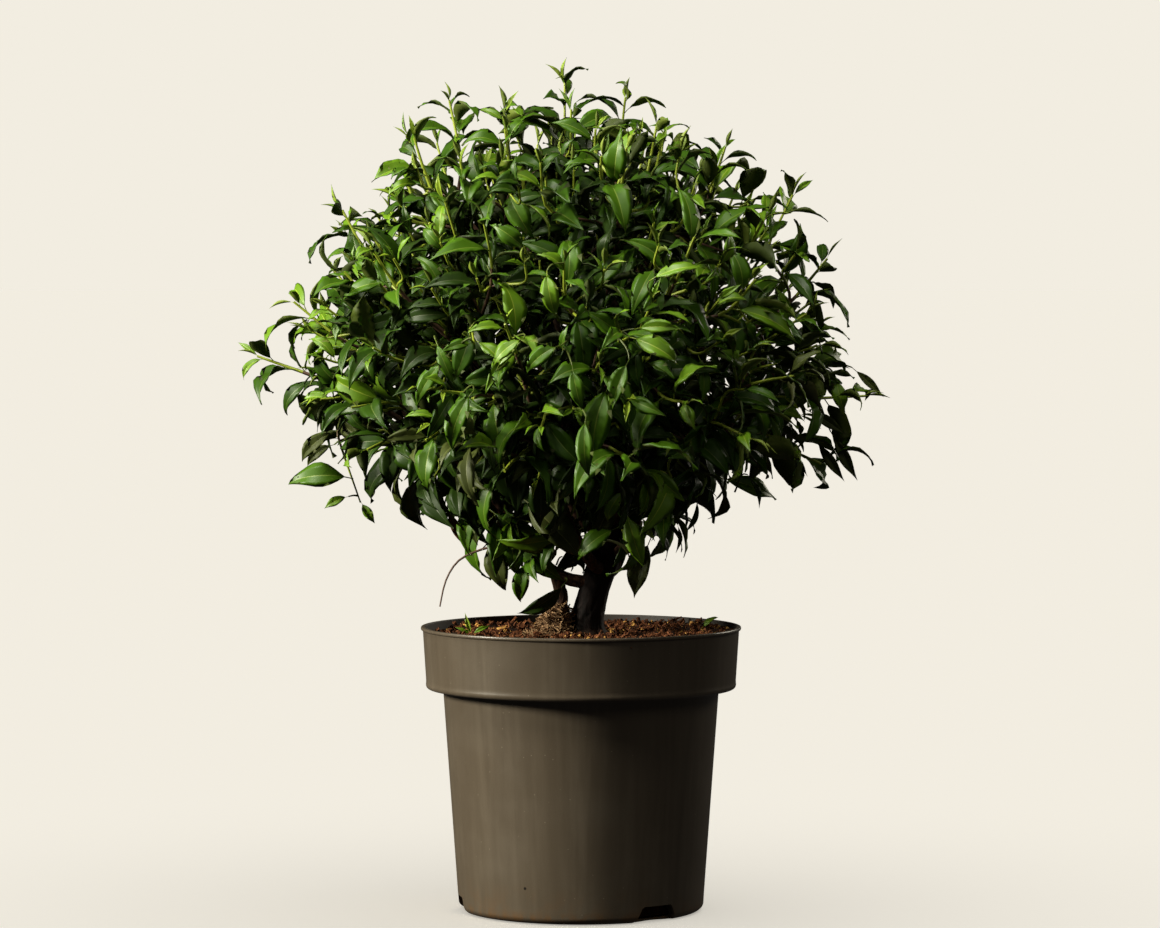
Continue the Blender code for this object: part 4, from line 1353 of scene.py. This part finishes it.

# %% [markdown]
# A few leaves and twigs are too plain to see to be left to chance: the dull leaves round the
# fork and the ones there darkened as painted shade, a spray that hangs free at each side, and
# one bare twig that arches down to the left.
# The large leaves on the crown's front show plainly too. Each of these leaves is given by where
# it starts and ends in the front view, and a short stalk joins it to the wood nearest to it.

# %% Leaves and twigs listed one by one
# All places here are in millimetres: foot x and z, tip x and z, then the depth
NARROW = True
HANGING = [
    ((-15, 328, -64, 296, -22), "shade"), ((-52, 349, -60, 308, -30), "mid"),
    ((-70, 383, -62, 334, -32), "mid"), ((-91, 374, -75, 319, -16), "dull"),
    ((-92, 380, -99, 361, -12), "shade"), ((-82, 395, -78, 358, -6), "shade"),
    ((-120, 421, -127, 390, -30), "mid"), ((-107, 411, -118, 379, -34), "mid"),
    ((-105, 422, -98, 389, -40), "fresh", NARROW), ((-136, 403, -111, 359, -20), "bronze", NARROW),
    ((-110, 389, -103, 364, -26), "dull"), ((-59, 412, -2, 353, -110), "dull"),
    ((-48, 386, -15, 364, -85), "dull"), ((37, 382, -3, 349, -80), "mid"),
    ((45, 400, 62, 343, -150), "fresh"), ((70, 372, 53, 311, -20), "dull"),
    ((49, 363, 50, 327, 4), "shade"), ((34, 378, 40, 340, 2), "shade", NARROW),
    ((76, 382, 84, 349, 0), "shade"), ((72, 392, 100, 357, -10), "shade"),
    ((116, 412, 103, 376, -10), "shade", NARROW), ((44, 419, 27, 388, -120), "fresh"),
    ((60, 394, 74, 368, -140), "lime", NARROW), ((-228, 431, -292, 425, -10), "mid"),
    ((-232, 413, -256, 401, -14), "fresh"), ((-220, 408, -206, 386, -10), "fresh"),
    ((-245, 478, -278, 448, -4), "dull"), ((-246, 465, -273, 443, 6), "dull"),
    ((224, 500, 264, 475, -10), "dull", NARROW), ((233, 470, 263, 428, -16), "dull", NARROW),
    ((249, 478, 276, 429, 0), "dull", NARROW), ((270, 542, 302, 512, -6), "dull", NARROW),
    ((254, 532, 263, 497, -20), "fresh"), ((166, 435, 178, 401, -4), "shade", NARROW),
    ((202, 459, 226, 433, 4), "shade", NARROW), ((12, 432, -12, 384, -34), "shade"),
    ((26, 428, 14, 378, -40), "deep"), ((-30, 425, -6, 380, -30), "shade"),
    ((6, 384, -20, 340, -20), "shade"), ((-32, 384, -10, 338, 10), "shade"),
    ((-6, 378, -30, 334, 16), "shade"), ((-50, 400, -30, 352, -6), "shade"),
    ((64, 440, 78, 398, -30), "deep"), ((58, 410, 70, 368, -10), "shade"),
    ((90, 420, 104, 380, 0), "shade"), ((2, 370, -28, 338, 20), "shade"),
    ((-30, 368, 2, 336, -12), "shade"), ((-19, 353, 4, 333, 0), "shade"),
    ((-42, 383, -28, 352, 10), "shade"),
]
# Large leaves on the crown's front, each as deep as the front there
FRONT = [
    ((68, 628, 124, 640), "fresh"), ((53, 580, 100, 580), "fresh"), ((49, 572, 96, 545), "fresh"),
    ((-20, 564, -54, 536), "mid"), ((-57, 571, -87, 543), "fresh"), ((-9, 544, 1, 499), "mid"),
    ((48, 550, 31, 500), "mid"), ((-107, 519, -128, 459), "mid"), ((5, 493, 8, 433), "mid"),
    ((-136, 550, -164, 503), "mid"), ((-145, 569, -126, 525), "mid"),
    ((-84, 540, -60, 568), "fresh"), ((-34, 638, -25, 594), "fresh"),
    ((-54, 658, -90, 684), "mid"),
]
FRONT_DEPTH = 0.93
# A seedling in the compost and a curled leaf that lies on it
LOOSE = [
    ((-109, 273, -116, 297, 0), "lime", NARROW), ((-109, 275, -91, 284, -4), "fresh", NARROW),
    ((-109, 274, -126, 282, 4), "fresh", NARROW), ((121, 281, 137, 292, 0), "fresh"),
]
# x and z of each point of a twig, after its depth
SIDE_TWIG = (-8, [(-242, 475), (-235, 451), (-228, 431), (-220, 408)])
BARE_TWIG = (-30, [(-72, 368), (-98, 362), (-121, 351), (-134, 331), (-140, 305)])
print("leaves placed by hand:", len(HANGING), "hang,", len(FRONT), "in front,", len(LOOSE), "loose")


# %% Where a place in the front view lies
def lying_at(x, z, depth):
    """The point itself, for places that are real and not as seen."""
    return Vector((x, depth, z))


def seen_at(x, z, depth):
    """The point at a depth that the camera sees at a place in the front view."""
    nearness = CAMERA_DISTANCE / (CAMERA_DISTANCE + depth)
    return Vector((x / nearness, depth, CAMERA_HEIGHT + (z - CAMERA_HEIGHT) / nearness))


def front_depth(x, z):
    """How far forward the crown's front lies at a place in the front view."""
    out = math.hypot(x - CROWN.x, z - CROWN.z)
    return -FRONT_DEPTH * math.sqrt(CROWN_RADIUS ** 2 - out * out)


def placed_leaves(rows, place=seen_at):
    """Foot, tip, tint and mark of listed leaves, at their depth or on the front."""
    found = []
    for places, *look in rows:
        foot_x, foot_z, tip_x, tip_z, *given = [value / 1000 for value in places]
        depth = given[0] if given else front_depth(foot_x, foot_z)
        found.append((place(foot_x, foot_z, depth), place(tip_x, tip_z, depth), *look))
    return found


# %% Stalks for the listed leaves
HAND_TWIG_RADII = (0.0016, 0.0008)
STALK_RADII = (0.0011, 0.0007)
STALK_PIECES = 6
STALK_RISE = 0.25
TOUCHING = 0.001
STALK_TURN_WEIGHT = 0.15
STALK_DEPTH_WEIGHT = 0.45


def nearest_wood(point, grown, arrive=None):
    """The closest place on a limb's bark or on a grown twig, best straight behind the point."""
    found = [tree.find_nearest(point)[0] for tree in limbs]
    found += [p for twig in grown for p in twig.points]

    def cost(place):
        """Distance as seen, with more for a turn towards the leaf."""
        way = point - place
        seen = math.hypot(way.x, way.z, way.y * STALK_DEPTH_WEIGHT)
        if arrive is None or way.length < TOUCHING:
            return seen
        return seen * (1.0 + STALK_TURN_WEIGHT * way.angle(arrive) ** 2)

    return min(found, key=cost)


def stalk_to(point, arrive, grown):
    """A short curved twig from the nearest wood to a point."""
    start = nearest_wood(point, grown, arrive)
    way = (point - start).normalized()
    leave = way + Vector((0.0, 0.0, STALK_RISE))
    return Twig(bezier(start, leave, arrive + way, point, STALK_PIECES), *STALK_RADII, 0.0)


def by_hand():
    """The side spray's twig, the bare twig, and a stalk for every listed leaf that hangs or stands
    on the front.
    """
    made = []
    for line in (SIDE_TWIG, BARE_TWIG):
        points = [lying_at(x / 1000, z / 1000, line[0] / 1000) for x, z in line[1]]
        start = nearest_wood(points[0], twigs)
        run = smooth([(*p, 0.0) for p in (start, start.lerp(points[0], 0.5), *points)],
                     LIMB_PIECES)
        made.append(Twig([Vector(p[:3]) for p in run], *HAND_TWIG_RADII, 0.0))
        made[-1].bare = line is BARE_TWIG
    for foot, tip, *_ in placed_leaves(HANGING + FRONT):
        made.append(stalk_to(foot, (tip - foot).normalized(), twigs + made[:1]))
    return made


stalks = by_hand()
print("stalks:", len(stalks), "longest", round(max(t.length for t in stalks), 3))

# %% [markdown]
# A laurel leaf is a lance-shaped blade five or six centimetres long, folded up a little along
# its pale midrib, arched so that its pointed tip hangs, and glossy above and dull below.
# Fourteen forms with other folds, arches and twists stand for all the leaves. Each is a thin
# closed mesh of about eighty faces that know whether they are upper side, underside or rib.

# %% One leaf form
# Places along the blade, its half width at each, and the columns of points across it
STATIONS = (0.0, 0.06, 0.15, 0.26, 0.37, 0.48, 0.59, 0.70, 0.81, 0.91, 1.0)
HALF_WIDTHS = (0.04, 0.26, 0.58, 0.85, 0.99, 1.00, 0.86, 0.62, 0.34, 0.13, 0.01)
COLUMNS = (-1.0, -0.55, -0.04, 0.04, 0.55, 1.0)
PUCKER = 0.015
STALK_LENGTH = 0.16
STALK_RADIUS = 0.011
STALK_STEPS = 3
STALK_SIDES = 3
STALK_HEADING = 0.18
STALK_DIP = 0.05
# A leaf arches a little at its foot and more towards its tip
FOOT_ARCH = 0.35
TIP_ARCH = 1.3
LEAF_THICKNESS = 0.012
UPPER, UNDER, RIB = 0, 1, 2


def leaf_form(name, width, fold, arch, twist, wave, bulge, phase, forms):
    """A leaf along +X from its stalk's foot, its upper side towards +Z, one unit long."""
    verts, faces, sides = [], [], []
    heading, x, z = STALK_HEADING, 0.0, 0.0
    for k in range(STALK_STEPS + 1):
        for j in range(STALK_SIDES):
            turn = math.tau * j / STALK_SIDES + math.pi / 2
            verts.append((x, STALK_RADIUS * math.cos(turn), z + STALK_RADIUS * math.sin(turn)))
        x += math.cos(heading) * STALK_LENGTH / STALK_STEPS
        z += math.sin(heading) * STALK_LENGTH / STALK_STEPS
        heading -= STALK_DIP
    for face in tube_faces(STALK_STEPS + 1, STALK_SIDES):
        faces.append((face[0], *reversed(face[1:])))
    faces.append(tuple(range(STALK_SIDES)))
    sides += [RIB] * len(faces)
    x -= math.cos(heading) * STALK_LENGTH / STALK_STEPS
    z -= math.sin(heading) * STALK_LENGTH / STALK_STEPS
    blade = len(verts)
    before = 0.0
    for k, (station, half) in enumerate(zip(STATIONS, HALF_WIDTHS)):
        length = station - before
        heading -= arch * (FOOT_ARCH + TIP_ARCH * station) * length
        x += math.cos(heading) * length
        z += math.sin(heading) * length
        before = station
        up = Vector((-math.sin(heading), 0.0, math.cos(heading)))
        roll = twist * station
        for column in COLUMNS:
            reach = half * width * column
            lift = abs(reach) * math.tan(fold) + bulge * width * half * math.sin(
                math.pi * abs(column))
            lift += wave * width * column * column * math.sin(
                math.tau * 2.0 * station + phase + (math.pi if column < 0 else 0.0))
            if abs(column) == COLUMNS[-2]:
                lift += PUCKER * half * (-1) ** k
            y = reach * math.cos(roll) - lift * math.sin(roll)
            rise = reach * math.sin(roll) + lift * math.cos(roll)
            verts.append(Vector((x, y, z)) + up * rise)
        thick = LEAF_THICKNESS * (0.5 + 0.5 * half)
        verts.append(Vector((x, 0.0, z)) - up * thick)
    row = len(COLUMNS) + 1
    for k in range(len(STATIONS) - 1):
        here, there = blade + k * row, blade + (k + 1) * row
        for c in range(len(COLUMNS) - 1):
            faces.append((here + c, there + c, there + c + 1, here + c + 1))
            sides.append(RIB if c == 2 else UPPER)
        for edge, step in ((0, 1), (len(COLUMNS) - 1, -1)):
            under = [here + row - 1, there + row - 1, there + edge, here + edge]
            faces.append(tuple(under if step > 0 else reversed(under)))
            sides.append(UNDER)
    for start in (blade, blade + (len(STATIONS) - 1) * row):
        cap = [start + c for c in range(row)]
        faces.append(tuple(cap if start == blade else reversed(cap)))
        sides.append(UNDER)
    form = give_values(from_lists(name, verts, [], faces, forms), "side", "INT", sides, "FACE")
    bm = bmesh.new()
    bm.from_mesh(form.data)
    bmesh.ops.recalc_face_normals(bm, faces=bm.faces)
    bm.to_mesh(form.data)
    bm.free()
    form.data.shade_smooth()
    form["chord"] = (math.hypot(x, z), math.atan2(z, x))


# %% All leaf forms
GROWN_FORMS = 10
YOUNG_FORMS = 4
# Least and most of a form's width, fold, arch, twist, wave, bulge and phase
GROWN_LIMITS = ((0.140, 0.212), (0.15, 0.60), (0.6, 2.1), (-0.7, 0.7), (0.08, 0.26),
                (0.05, 0.15), (0, math.tau))
YOUNG_LIMITS = ((0.105, 0.135), (0.5, 0.9), (0.1, 0.7), (-0.3, 0.3), (0.02, 0.06),
                (0.05, 0.12), (0, math.tau))


def all_forms():
    """Grown leaves first, then young ones that are narrower and still folded."""
    chance = random.Random(SEED + 2)
    forms = bpy.data.collections.new("leaf_forms")
    for i, limits in enumerate([GROWN_LIMITS] * GROWN_FORMS + [YOUNG_LIMITS] * YOUNG_FORMS):
        leaf_form(f"leaf_{i:02d}", *[chance.uniform(*pair) for pair in limits], forms)
    return forms


leaf_forms = all_forms()
chords = [tuple(form["chord"]) for form in leaf_forms.objects]

# %% [markdown]
# Leaves sit in a golden spiral round their shoot. On a young shoot the first two are small,
# bright and nearly upright, and going down they grow longer and darker, spread out sideways and
# hang more. A grown shoot starts with large leaves. High in the crown most shoots are young, and
# low down most are grown and their leaves hang almost straight down. Each shoot is dealt one
# tint, so bright and dark sprays lie side by side as they do on the real bush.

# %% How a leaf stands on its twig
# Pull outwards from the crown, and droop at the crown's middle and its further growth low down
OUTWARD_PULL = 0.12
DROOP = 0.32
LOW_DROOP = 0.55
DROOP_SPREAD = (0.45, 1.35)
# How much a leaf's upper side faces the sky, the outside and its twig's tip
SKYWARDS = 0.75
OUTWARDS = 0.55
TIPWARDS = 0.25
# How far it swings from that at random, and how much further low down
SWING = 0.7
LOW_SWING = 0.9


def leaf_place(twig, along, turn, opening, chance):
    """A leaf's foot on its twig, its direction and the way its upper side faces."""
    root, axis = twig.at(along)
    side = axis.orthogonal().normalized()
    radial = side * math.cos(turn) + axis.cross(side) * math.sin(turn)
    outwards = (root - CROWN).normalized()
    direction = axis * math.cos(opening) + radial * math.sin(opening)
    grown = math.sin(opening)
    direction += outwards * OUTWARD_PULL * grown
    direction.z -= (DROOP + LOW_DROOP * lowness(root)) * grown * chance.uniform(*DROOP_SPREAD)
    direction.normalize()
    upper = Vector((0.0, 0.0, SKYWARDS)) + outwards * OUTWARDS + axis * TIPWARDS
    upper -= direction * upper.dot(direction)
    upper.normalize()
    swing = SWING + LOW_SWING * lowness(root)
    upper += direction.cross(upper) * chance.uniform(-swing, swing)
    return root, direction, upper


def turned_to(chord_way, upper, form):
    """The Euler turn that lays the line from a form's foot to its tip along a direction."""
    across = upper.cross(chord_way).normalized()
    above = chord_way.cross(across).normalized()
    angle = chords[form][1]
    along = chord_way * math.cos(angle) - above * math.sin(angle)
    up = chord_way * math.sin(angle) + above * math.cos(angle)
    return Matrix((along, across, up)).transposed().to_euler()


# %% Which tint a leaf takes
TINTS = ("lime", "fresh", "mid", "deep", "dull", "shade", "bronze")
LEFT_SIDE = -0.10
RIGHT_SIDE = 0.10
# Darker tints at the lit left and brighter ones at the shaded right are painted shade and painted
# light
# Tints that a spray may take at the left, in the middle and at the right
LOW_SPRAYS = (("dull", "dull", "shade", "deep"), ("mid", "mid", "dull", "fresh"),
              ("dull", "mid", "mid", "fresh"))
HIGH_SPRAYS = (("fresh", "mid", "mid", "deep", "deep"), ("fresh", "mid", "mid", "deep", "deep"),
               ("fresh", "fresh", "mid", "deep"))
# A leaf is inside the crown below this share of its reach, and mostly takes the darker tint as
# painted shade
INNER_DEPTH = 0.72
INNER_PAINTED_SHADE_SHARE = 0.66
LIME_SHARE = 0.45
SPRAY_SHARE = 0.80


def tint_of(i, young, depth, spray, across, chance):
    """Which tint a leaf takes: bright at a young tip, darker down the shoot, and darker inside as
    painted shade.
    """
    if depth < INNER_DEPTH:
        # At the right the tints inside are paler, as painted light on the shaded side
        dark, pale = ("shade", "deep") if across < RIGHT_SIDE else ("deep", "mid")
        return dark if chance.random() < INNER_PAINTED_SHADE_SHARE else pale
    if young and i <= 1:
        return "lime" if chance.random() < LIME_SHARE else "fresh"
    if young and i <= 3:
        return chance.choice(("fresh", "fresh", "mid", spray, spray))
    return spray if chance.random() < SPRAY_SHARE else chance.choice(("fresh", "mid", "deep"))


# %% Leaves along every twig
LEAF_LENGTH = 0.053
LONGEST_LEAF = 0.074
# Distance from the leaf before, opening from the shoot in degrees and size of each leaf
YOUNG_SHOOT = [(0.0008, 7, 0.40), (0.0030, 36, 0.42), (0.0090, 52, 0.62), (0.0130, 62, 0.84),
               (0.0150, 70, 1.04), (0.0150, 76, 1.12)]
GROWN_SHOOT = [(0.0015, 22, 0.70), (0.0055, 48, 0.84), (0.0105, 62, 0.98), (0.0130, 72, 1.08),
               (0.0140, 78, 1.14)]
YOUNG_SHARE = 0.86
LOW_LIMITS = (0.2, 0.8)
VIGOUR = (0.88, 1.14)
PITCH_SPREAD = (0.8, 1.25)
OPENING_SPREAD = (0.85, 1.15)
SIZE_SPREAD = (0.76, 1.24)
LOW_SIZE = 0.16
MOST_LEAVES = 12
LEAFY_SHARE = 0.88
# A leader's leaves stand closer and may reach further past the outline
LEADER_PITCH = 0.75
EDGE_SLACK = -0.002
LEADER_SLACK = -0.024
# Bare wood past a twig's last leaf, and the share kept of a low twig without leaves
BARE_END = 0.001
BARE_SHARE = 0.5


def place_leaves():
    """Every leaf as foot, turn, size and form, dealt out by tint."""
    chance = random.Random(SEED + 12)
    dealt = {tint: [] for tint in TINTS}
    for twig in twigs + sprigs:
        low = lowness(twig.points[-1])
        young = twig.leads or chance.random() < YOUNG_SHARE - YOUNG_SHARE * low
        slack = LEADER_SLACK if twig.leads else EDGE_SLACK
        stages = YOUNG_SHOOT if young else GROWN_SHOOT
        across = twig.points[-1].x
        sprays = LOW_SPRAYS if low > chance.uniform(*LOW_LIMITS) else HIGH_SPRAYS
        spray = chance.choice(sprays[(across >= LEFT_SIDE) + (across >= RIGHT_SIDE)])
        spin = chance.uniform(0, math.tau)
        vigour = chance.uniform(*VIGOUR)
        back = 0.0
        outermost = None
        for i in range(MOST_LEAVES):
            pitch, degrees, share = stages[min(i, len(stages) - 1)]
            closeness = LEADER_PITCH if twig.leads else 1.0
            back += pitch * chance.uniform(*PITCH_SPREAD) * closeness
            if back > twig.length * LEAFY_SHARE:
                break
            opening = math.radians(degrees * chance.uniform(*OPENING_SPREAD))
            root, direction, upper = leaf_place(
                twig, twig.length - back, spin + i * GOLDEN_TURN, opening, chance)
            if young and i <= 1:
                form = GROWN_FORMS + chance.randrange(YOUNG_FORMS)
            else:
                form = chance.randrange(GROWN_FORMS)
            size = LEAF_LENGTH * share * vigour * (1.0 + LOW_SIZE * low)
            size = min(size * chance.uniform(*SIZE_SPREAD), LONGEST_LEAF)
            reach = size * chords[form][0]
            middle, end = [root + direction * reach * part for part in (0.5, 1.0)]
            if not (in_reach(end, slack) and clear_of_limbs([middle, end], LEAF_CLEARANCE)):
                continue
            depth = (root - CROWN).length / envelope((root - CROWN).normalized())
            dealt[tint_of(i, young, depth, spray, across, chance)].append(
                (root, turned_to(direction, upper, form), size, form))
            if outermost is None:
                outermost = twig.length - back
        if outermost is not None:
            twig.end = min(outermost + BARE_END, twig.length)
        elif low > 0.0:
            twig.end = twig.length * BARE_SHARE
    return dealt


# %% Listed leaves among them
# Leaves in the shade turn away from the light, the others face the front
FACING_LIGHT = (-0.25, -1.0, 0.45)
FACING_AWAY = (0.90, -0.60, 0.0)


def add_by_hand(dealt):
    """The listed leaves: narrow ones take a young form, the others a grown one."""
    found = placed_leaves(HANGING + FRONT) + placed_leaves(LOOSE, lying_at)
    for i, (foot, tip, tint, *narrow) in enumerate(found):
        chord = tip - foot
        form = GROWN_FORMS + i % YOUNG_FORMS if narrow else (i * 3) % GROWN_FORMS
        upper = Vector(FACING_AWAY if tint == "shade" else FACING_LIGHT)
        dealt[tint].append((foot, turned_to(chord.normalized(), upper, form),
                            chord.length / chords[form][0], form))


leaves = place_leaves()
add_by_hand(leaves)
print("leaves:", {tint: len(found) for tint, found in leaves.items()},
      "in all", sum(len(found) for found in leaves.values()))

# %% [markdown]
# Geometry Nodes turns the twigs' lines into wood: the lines become curves, an attribute gives
# each point its radius, and a five-sided section runs along them. Older wood is brown, young
# wood near the tips is green and the stalks of the listed leaves are a dark olive, so the lines
# are dealt into three pieces, each with one finish.

# %% Tree that gives lines their thickness
def twig_tree():
    """Lines as tubes whose thickness is an attribute of their points."""
    tree, given, result, names = new_tree("twigs_from_lines", {
        "Sides": "Int", "Finish": "Material"})
    lines = put(tree, "GeometryNodeMeshToCurve", {"Mesh": given.outputs["Geometry"]})
    section = put(tree, "GeometryNodeCurvePrimitiveCircle", {
        "Resolution": given.outputs["Sides"], "Radius": 1.0})
    tube = put(tree, "GeometryNodeCurveToMesh", {
        "Curve": lines.outputs[0], "Profile Curve": section.outputs[0],
        "Scale": attribute_in(tree, "thick", "FLOAT"), "Fill Caps": True})
    smooth_sides = put(tree, "GeometryNodeSetShadeSmooth", {"Geometry": tube.outputs[0]})
    end_tree(tree, smooth_sides.outputs[0], given.outputs["Finish"], result)
    return tree, names


def lines_object(name, courses):
    """Courses of points with a radius each, as a mesh of edges with the attribute thick."""
    verts, edges, radii = [], [], []
    for course in courses:
        edges += [(len(verts) + i, len(verts) + i + 1) for i in range(len(course) - 1)]
        verts += [point for point, _ in course]
        radii += [radius for _, radius in course]
    return give_values(from_lists(name, verts, edges, []), "thick", "FLOAT", radii)


# %% Twigs, shoots and stalks
GREEN_LENGTH = 0.062
TWIG_SIDES = 5


def split_courses():
    """Each twig's older part and its green tip, as courses of points and radii."""
    old, green = [], []
    for twig in twigs + sprigs + stalks[:2]:
        kept = [d for d in twig.lengths if d < twig.end] + [twig.end]
        course = [(twig.at(d)[0], twig.radius(d)) for d in kept]
        start = twig.end if twig.bare else max(twig.end - GREEN_LENGTH, 0.0)
        first = next(i for i, d in enumerate(kept) if d >= start)
        if first > 0:
            old.append(course[:first + 1])
        if first < len(course) - 1:
            green.append(course[first:])
    return old, green


twig_maker, twig_names = twig_tree()
old_courses, green_courses = split_courses()
stalk_courses = [[(p, stalk.radius(d)) for p, d in zip(stalk.points, stalk.lengths)]
                 for stalk in stalks[2:]]
# Name, courses, colour and roughness of each piece
TWIG_FINISHES = [
    ("brown_twigs", old_courses, (0.080, 0.040, 0.022), 0.62),
    ("green_shoots", green_courses, (0.240, 0.300, 0.022), 0.48),
    ("leaf_stalks", stalk_courses, (0.070, 0.095, 0.012), 0.50),
]
for name, courses, colour, roughness in TWIG_FINISHES:
    finish, _, _ = new_material(name + "_finish", colour, roughness)
    piece = grow_through(lines_object(name, courses), twig_maker, twig_names, {
        "Sides": TWIG_SIDES, "Finish": finish})
    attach(piece, "root")
    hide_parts(*foliage_nodes)
    low, high = piece.bound_box[0], piece.bound_box[6]
    print(name + ":", len(piece.data.polygons), "faces", [round(v, 3) for v in (*low, *high)])

# %% [markdown]
# One tree makes all the leaves. Each leaf is a point with its turn, size and form as attributes,
# the tree puts that form on the point, makes the copies real and gives the upper side, the
# underside and the rib their own finish. The tints are plain colours, one piece each.

# %% Tree that sets leaves on points
def leaf_tree():
    """Points as leaves of their own form, turn and size, with a finish for each side."""
    tree, given, result, names = new_tree("leaves_on_points", {
        "Forms": "Collection", "Upper": "Material", "Under": "Material", "Rib": "Material"})
    copies = copies_on(
        tree, given.outputs["Geometry"], given.outputs["Forms"],
        attribute_in(tree, "turn", "FLOAT_VECTOR"), attribute_in(tree, "size", "FLOAT"),
        **{"Instance Index": attribute_in(tree, "form", "INT")})
    made = put(tree, "GeometryNodeRealizeInstances", {"Geometry": copies}).outputs[0]
    side = attribute_in(tree, "side", "INT")
    for number, label in ((UPPER, "Upper"), (UNDER, "Under"), (RIB, "Rib")):
        match = put(tree, "FunctionNodeCompare", data_type="INT", operation="EQUAL")
        ends = [s for s in match.inputs if s.type == "INT" and s.enabled]
        tree.links.new(side, ends[0])
        ends[1].default_value = number
        made = put(tree, "GeometryNodeSetMaterial", {
            "Geometry": made, "Selection": match.outputs[0],
            "Material": given.outputs[label]}).outputs[0]
    tree.links.new(made, result.inputs[0])
    return tree, names


def points_object(name, found):
    """Leaf places as a mesh of loose points with their attributes."""
    made = from_lists(name, [root for root, *_ in found], [], [])
    turns = np.array([tuple(turn) for _, turn, *_ in found]).ravel()
    give_values(made, "turn", "FLOAT_VECTOR", turns)
    give_values(made, "size", "FLOAT", [size for _, _, size, _ in found])
    return give_values(made, "form", "INT", [form for *_, form in found])


# %% Leaves in their tints
# Upper side, underside and rib of each tint, and the upper side's roughness and gloss
LEAF_COLOURS = {
    "lime": ((0.180, 0.268, 0.014), (0.140, 0.192, 0.016), (0.320, 0.390, 0.040), 0.48, 0.38),
    "fresh": ((0.088, 0.180, 0.004), (0.080, 0.112, 0.009), (0.230, 0.305, 0.026), 0.45, 0.34),
    "mid": ((0.042, 0.104, 0.002), (0.045, 0.064, 0.007), (0.130, 0.195, 0.018), 0.44, 0.28),
    "deep": ((0.022, 0.058, 0.002), (0.028, 0.041, 0.006), (0.070, 0.108, 0.012), 0.43, 0.22),
    "dull": ((0.044, 0.057, 0.010), (0.046, 0.052, 0.014), (0.105, 0.120, 0.030), 0.52, 0.22),
    # "shade" is a darker copy of the leaf colours: painted shade for leaves inside the crown and
    # those turned from the light
    "shade": ((0.015, 0.034, 0.003), (0.020, 0.028, 0.005), (0.036, 0.056, 0.008), 0.46, 0.16),
    "bronze": ((0.085, 0.030, 0.012), (0.110, 0.050, 0.025), (0.200, 0.100, 0.050), 0.45, 0.24),
}
UNDER_ROUGHNESS = 0.62
RIB_ROUGHNESS = 0.45


def leaf_finishes(tint):
    """The finish of each side of a leaf, by the name of the tree's input that takes it."""
    upper, under, rib, roughness, gloss = LEAF_COLOURS[tint]
    looks = {"Upper": (upper, roughness, gloss), "Under": (under, UNDER_ROUGHNESS, gloss),
             "Rib": (rib, RIB_ROUGHNESS)}
    return {side: new_material(f"{tint}_{side.lower()}", *look)[0]
            for side, look in looks.items()}


leaf_maker, leaf_names = leaf_tree()
for tint, found in leaves.items():
    piece = grow_through(points_object(f"leaves_{tint}", found), leaf_maker, leaf_names, {
        "Forms": leaf_forms, **leaf_finishes(tint)})
    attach(piece, "root")
    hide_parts(*foliage_nodes)
    print(piece.name + ":", len(piece.data.polygons), "faces")
clear_collection(leaf_forms)
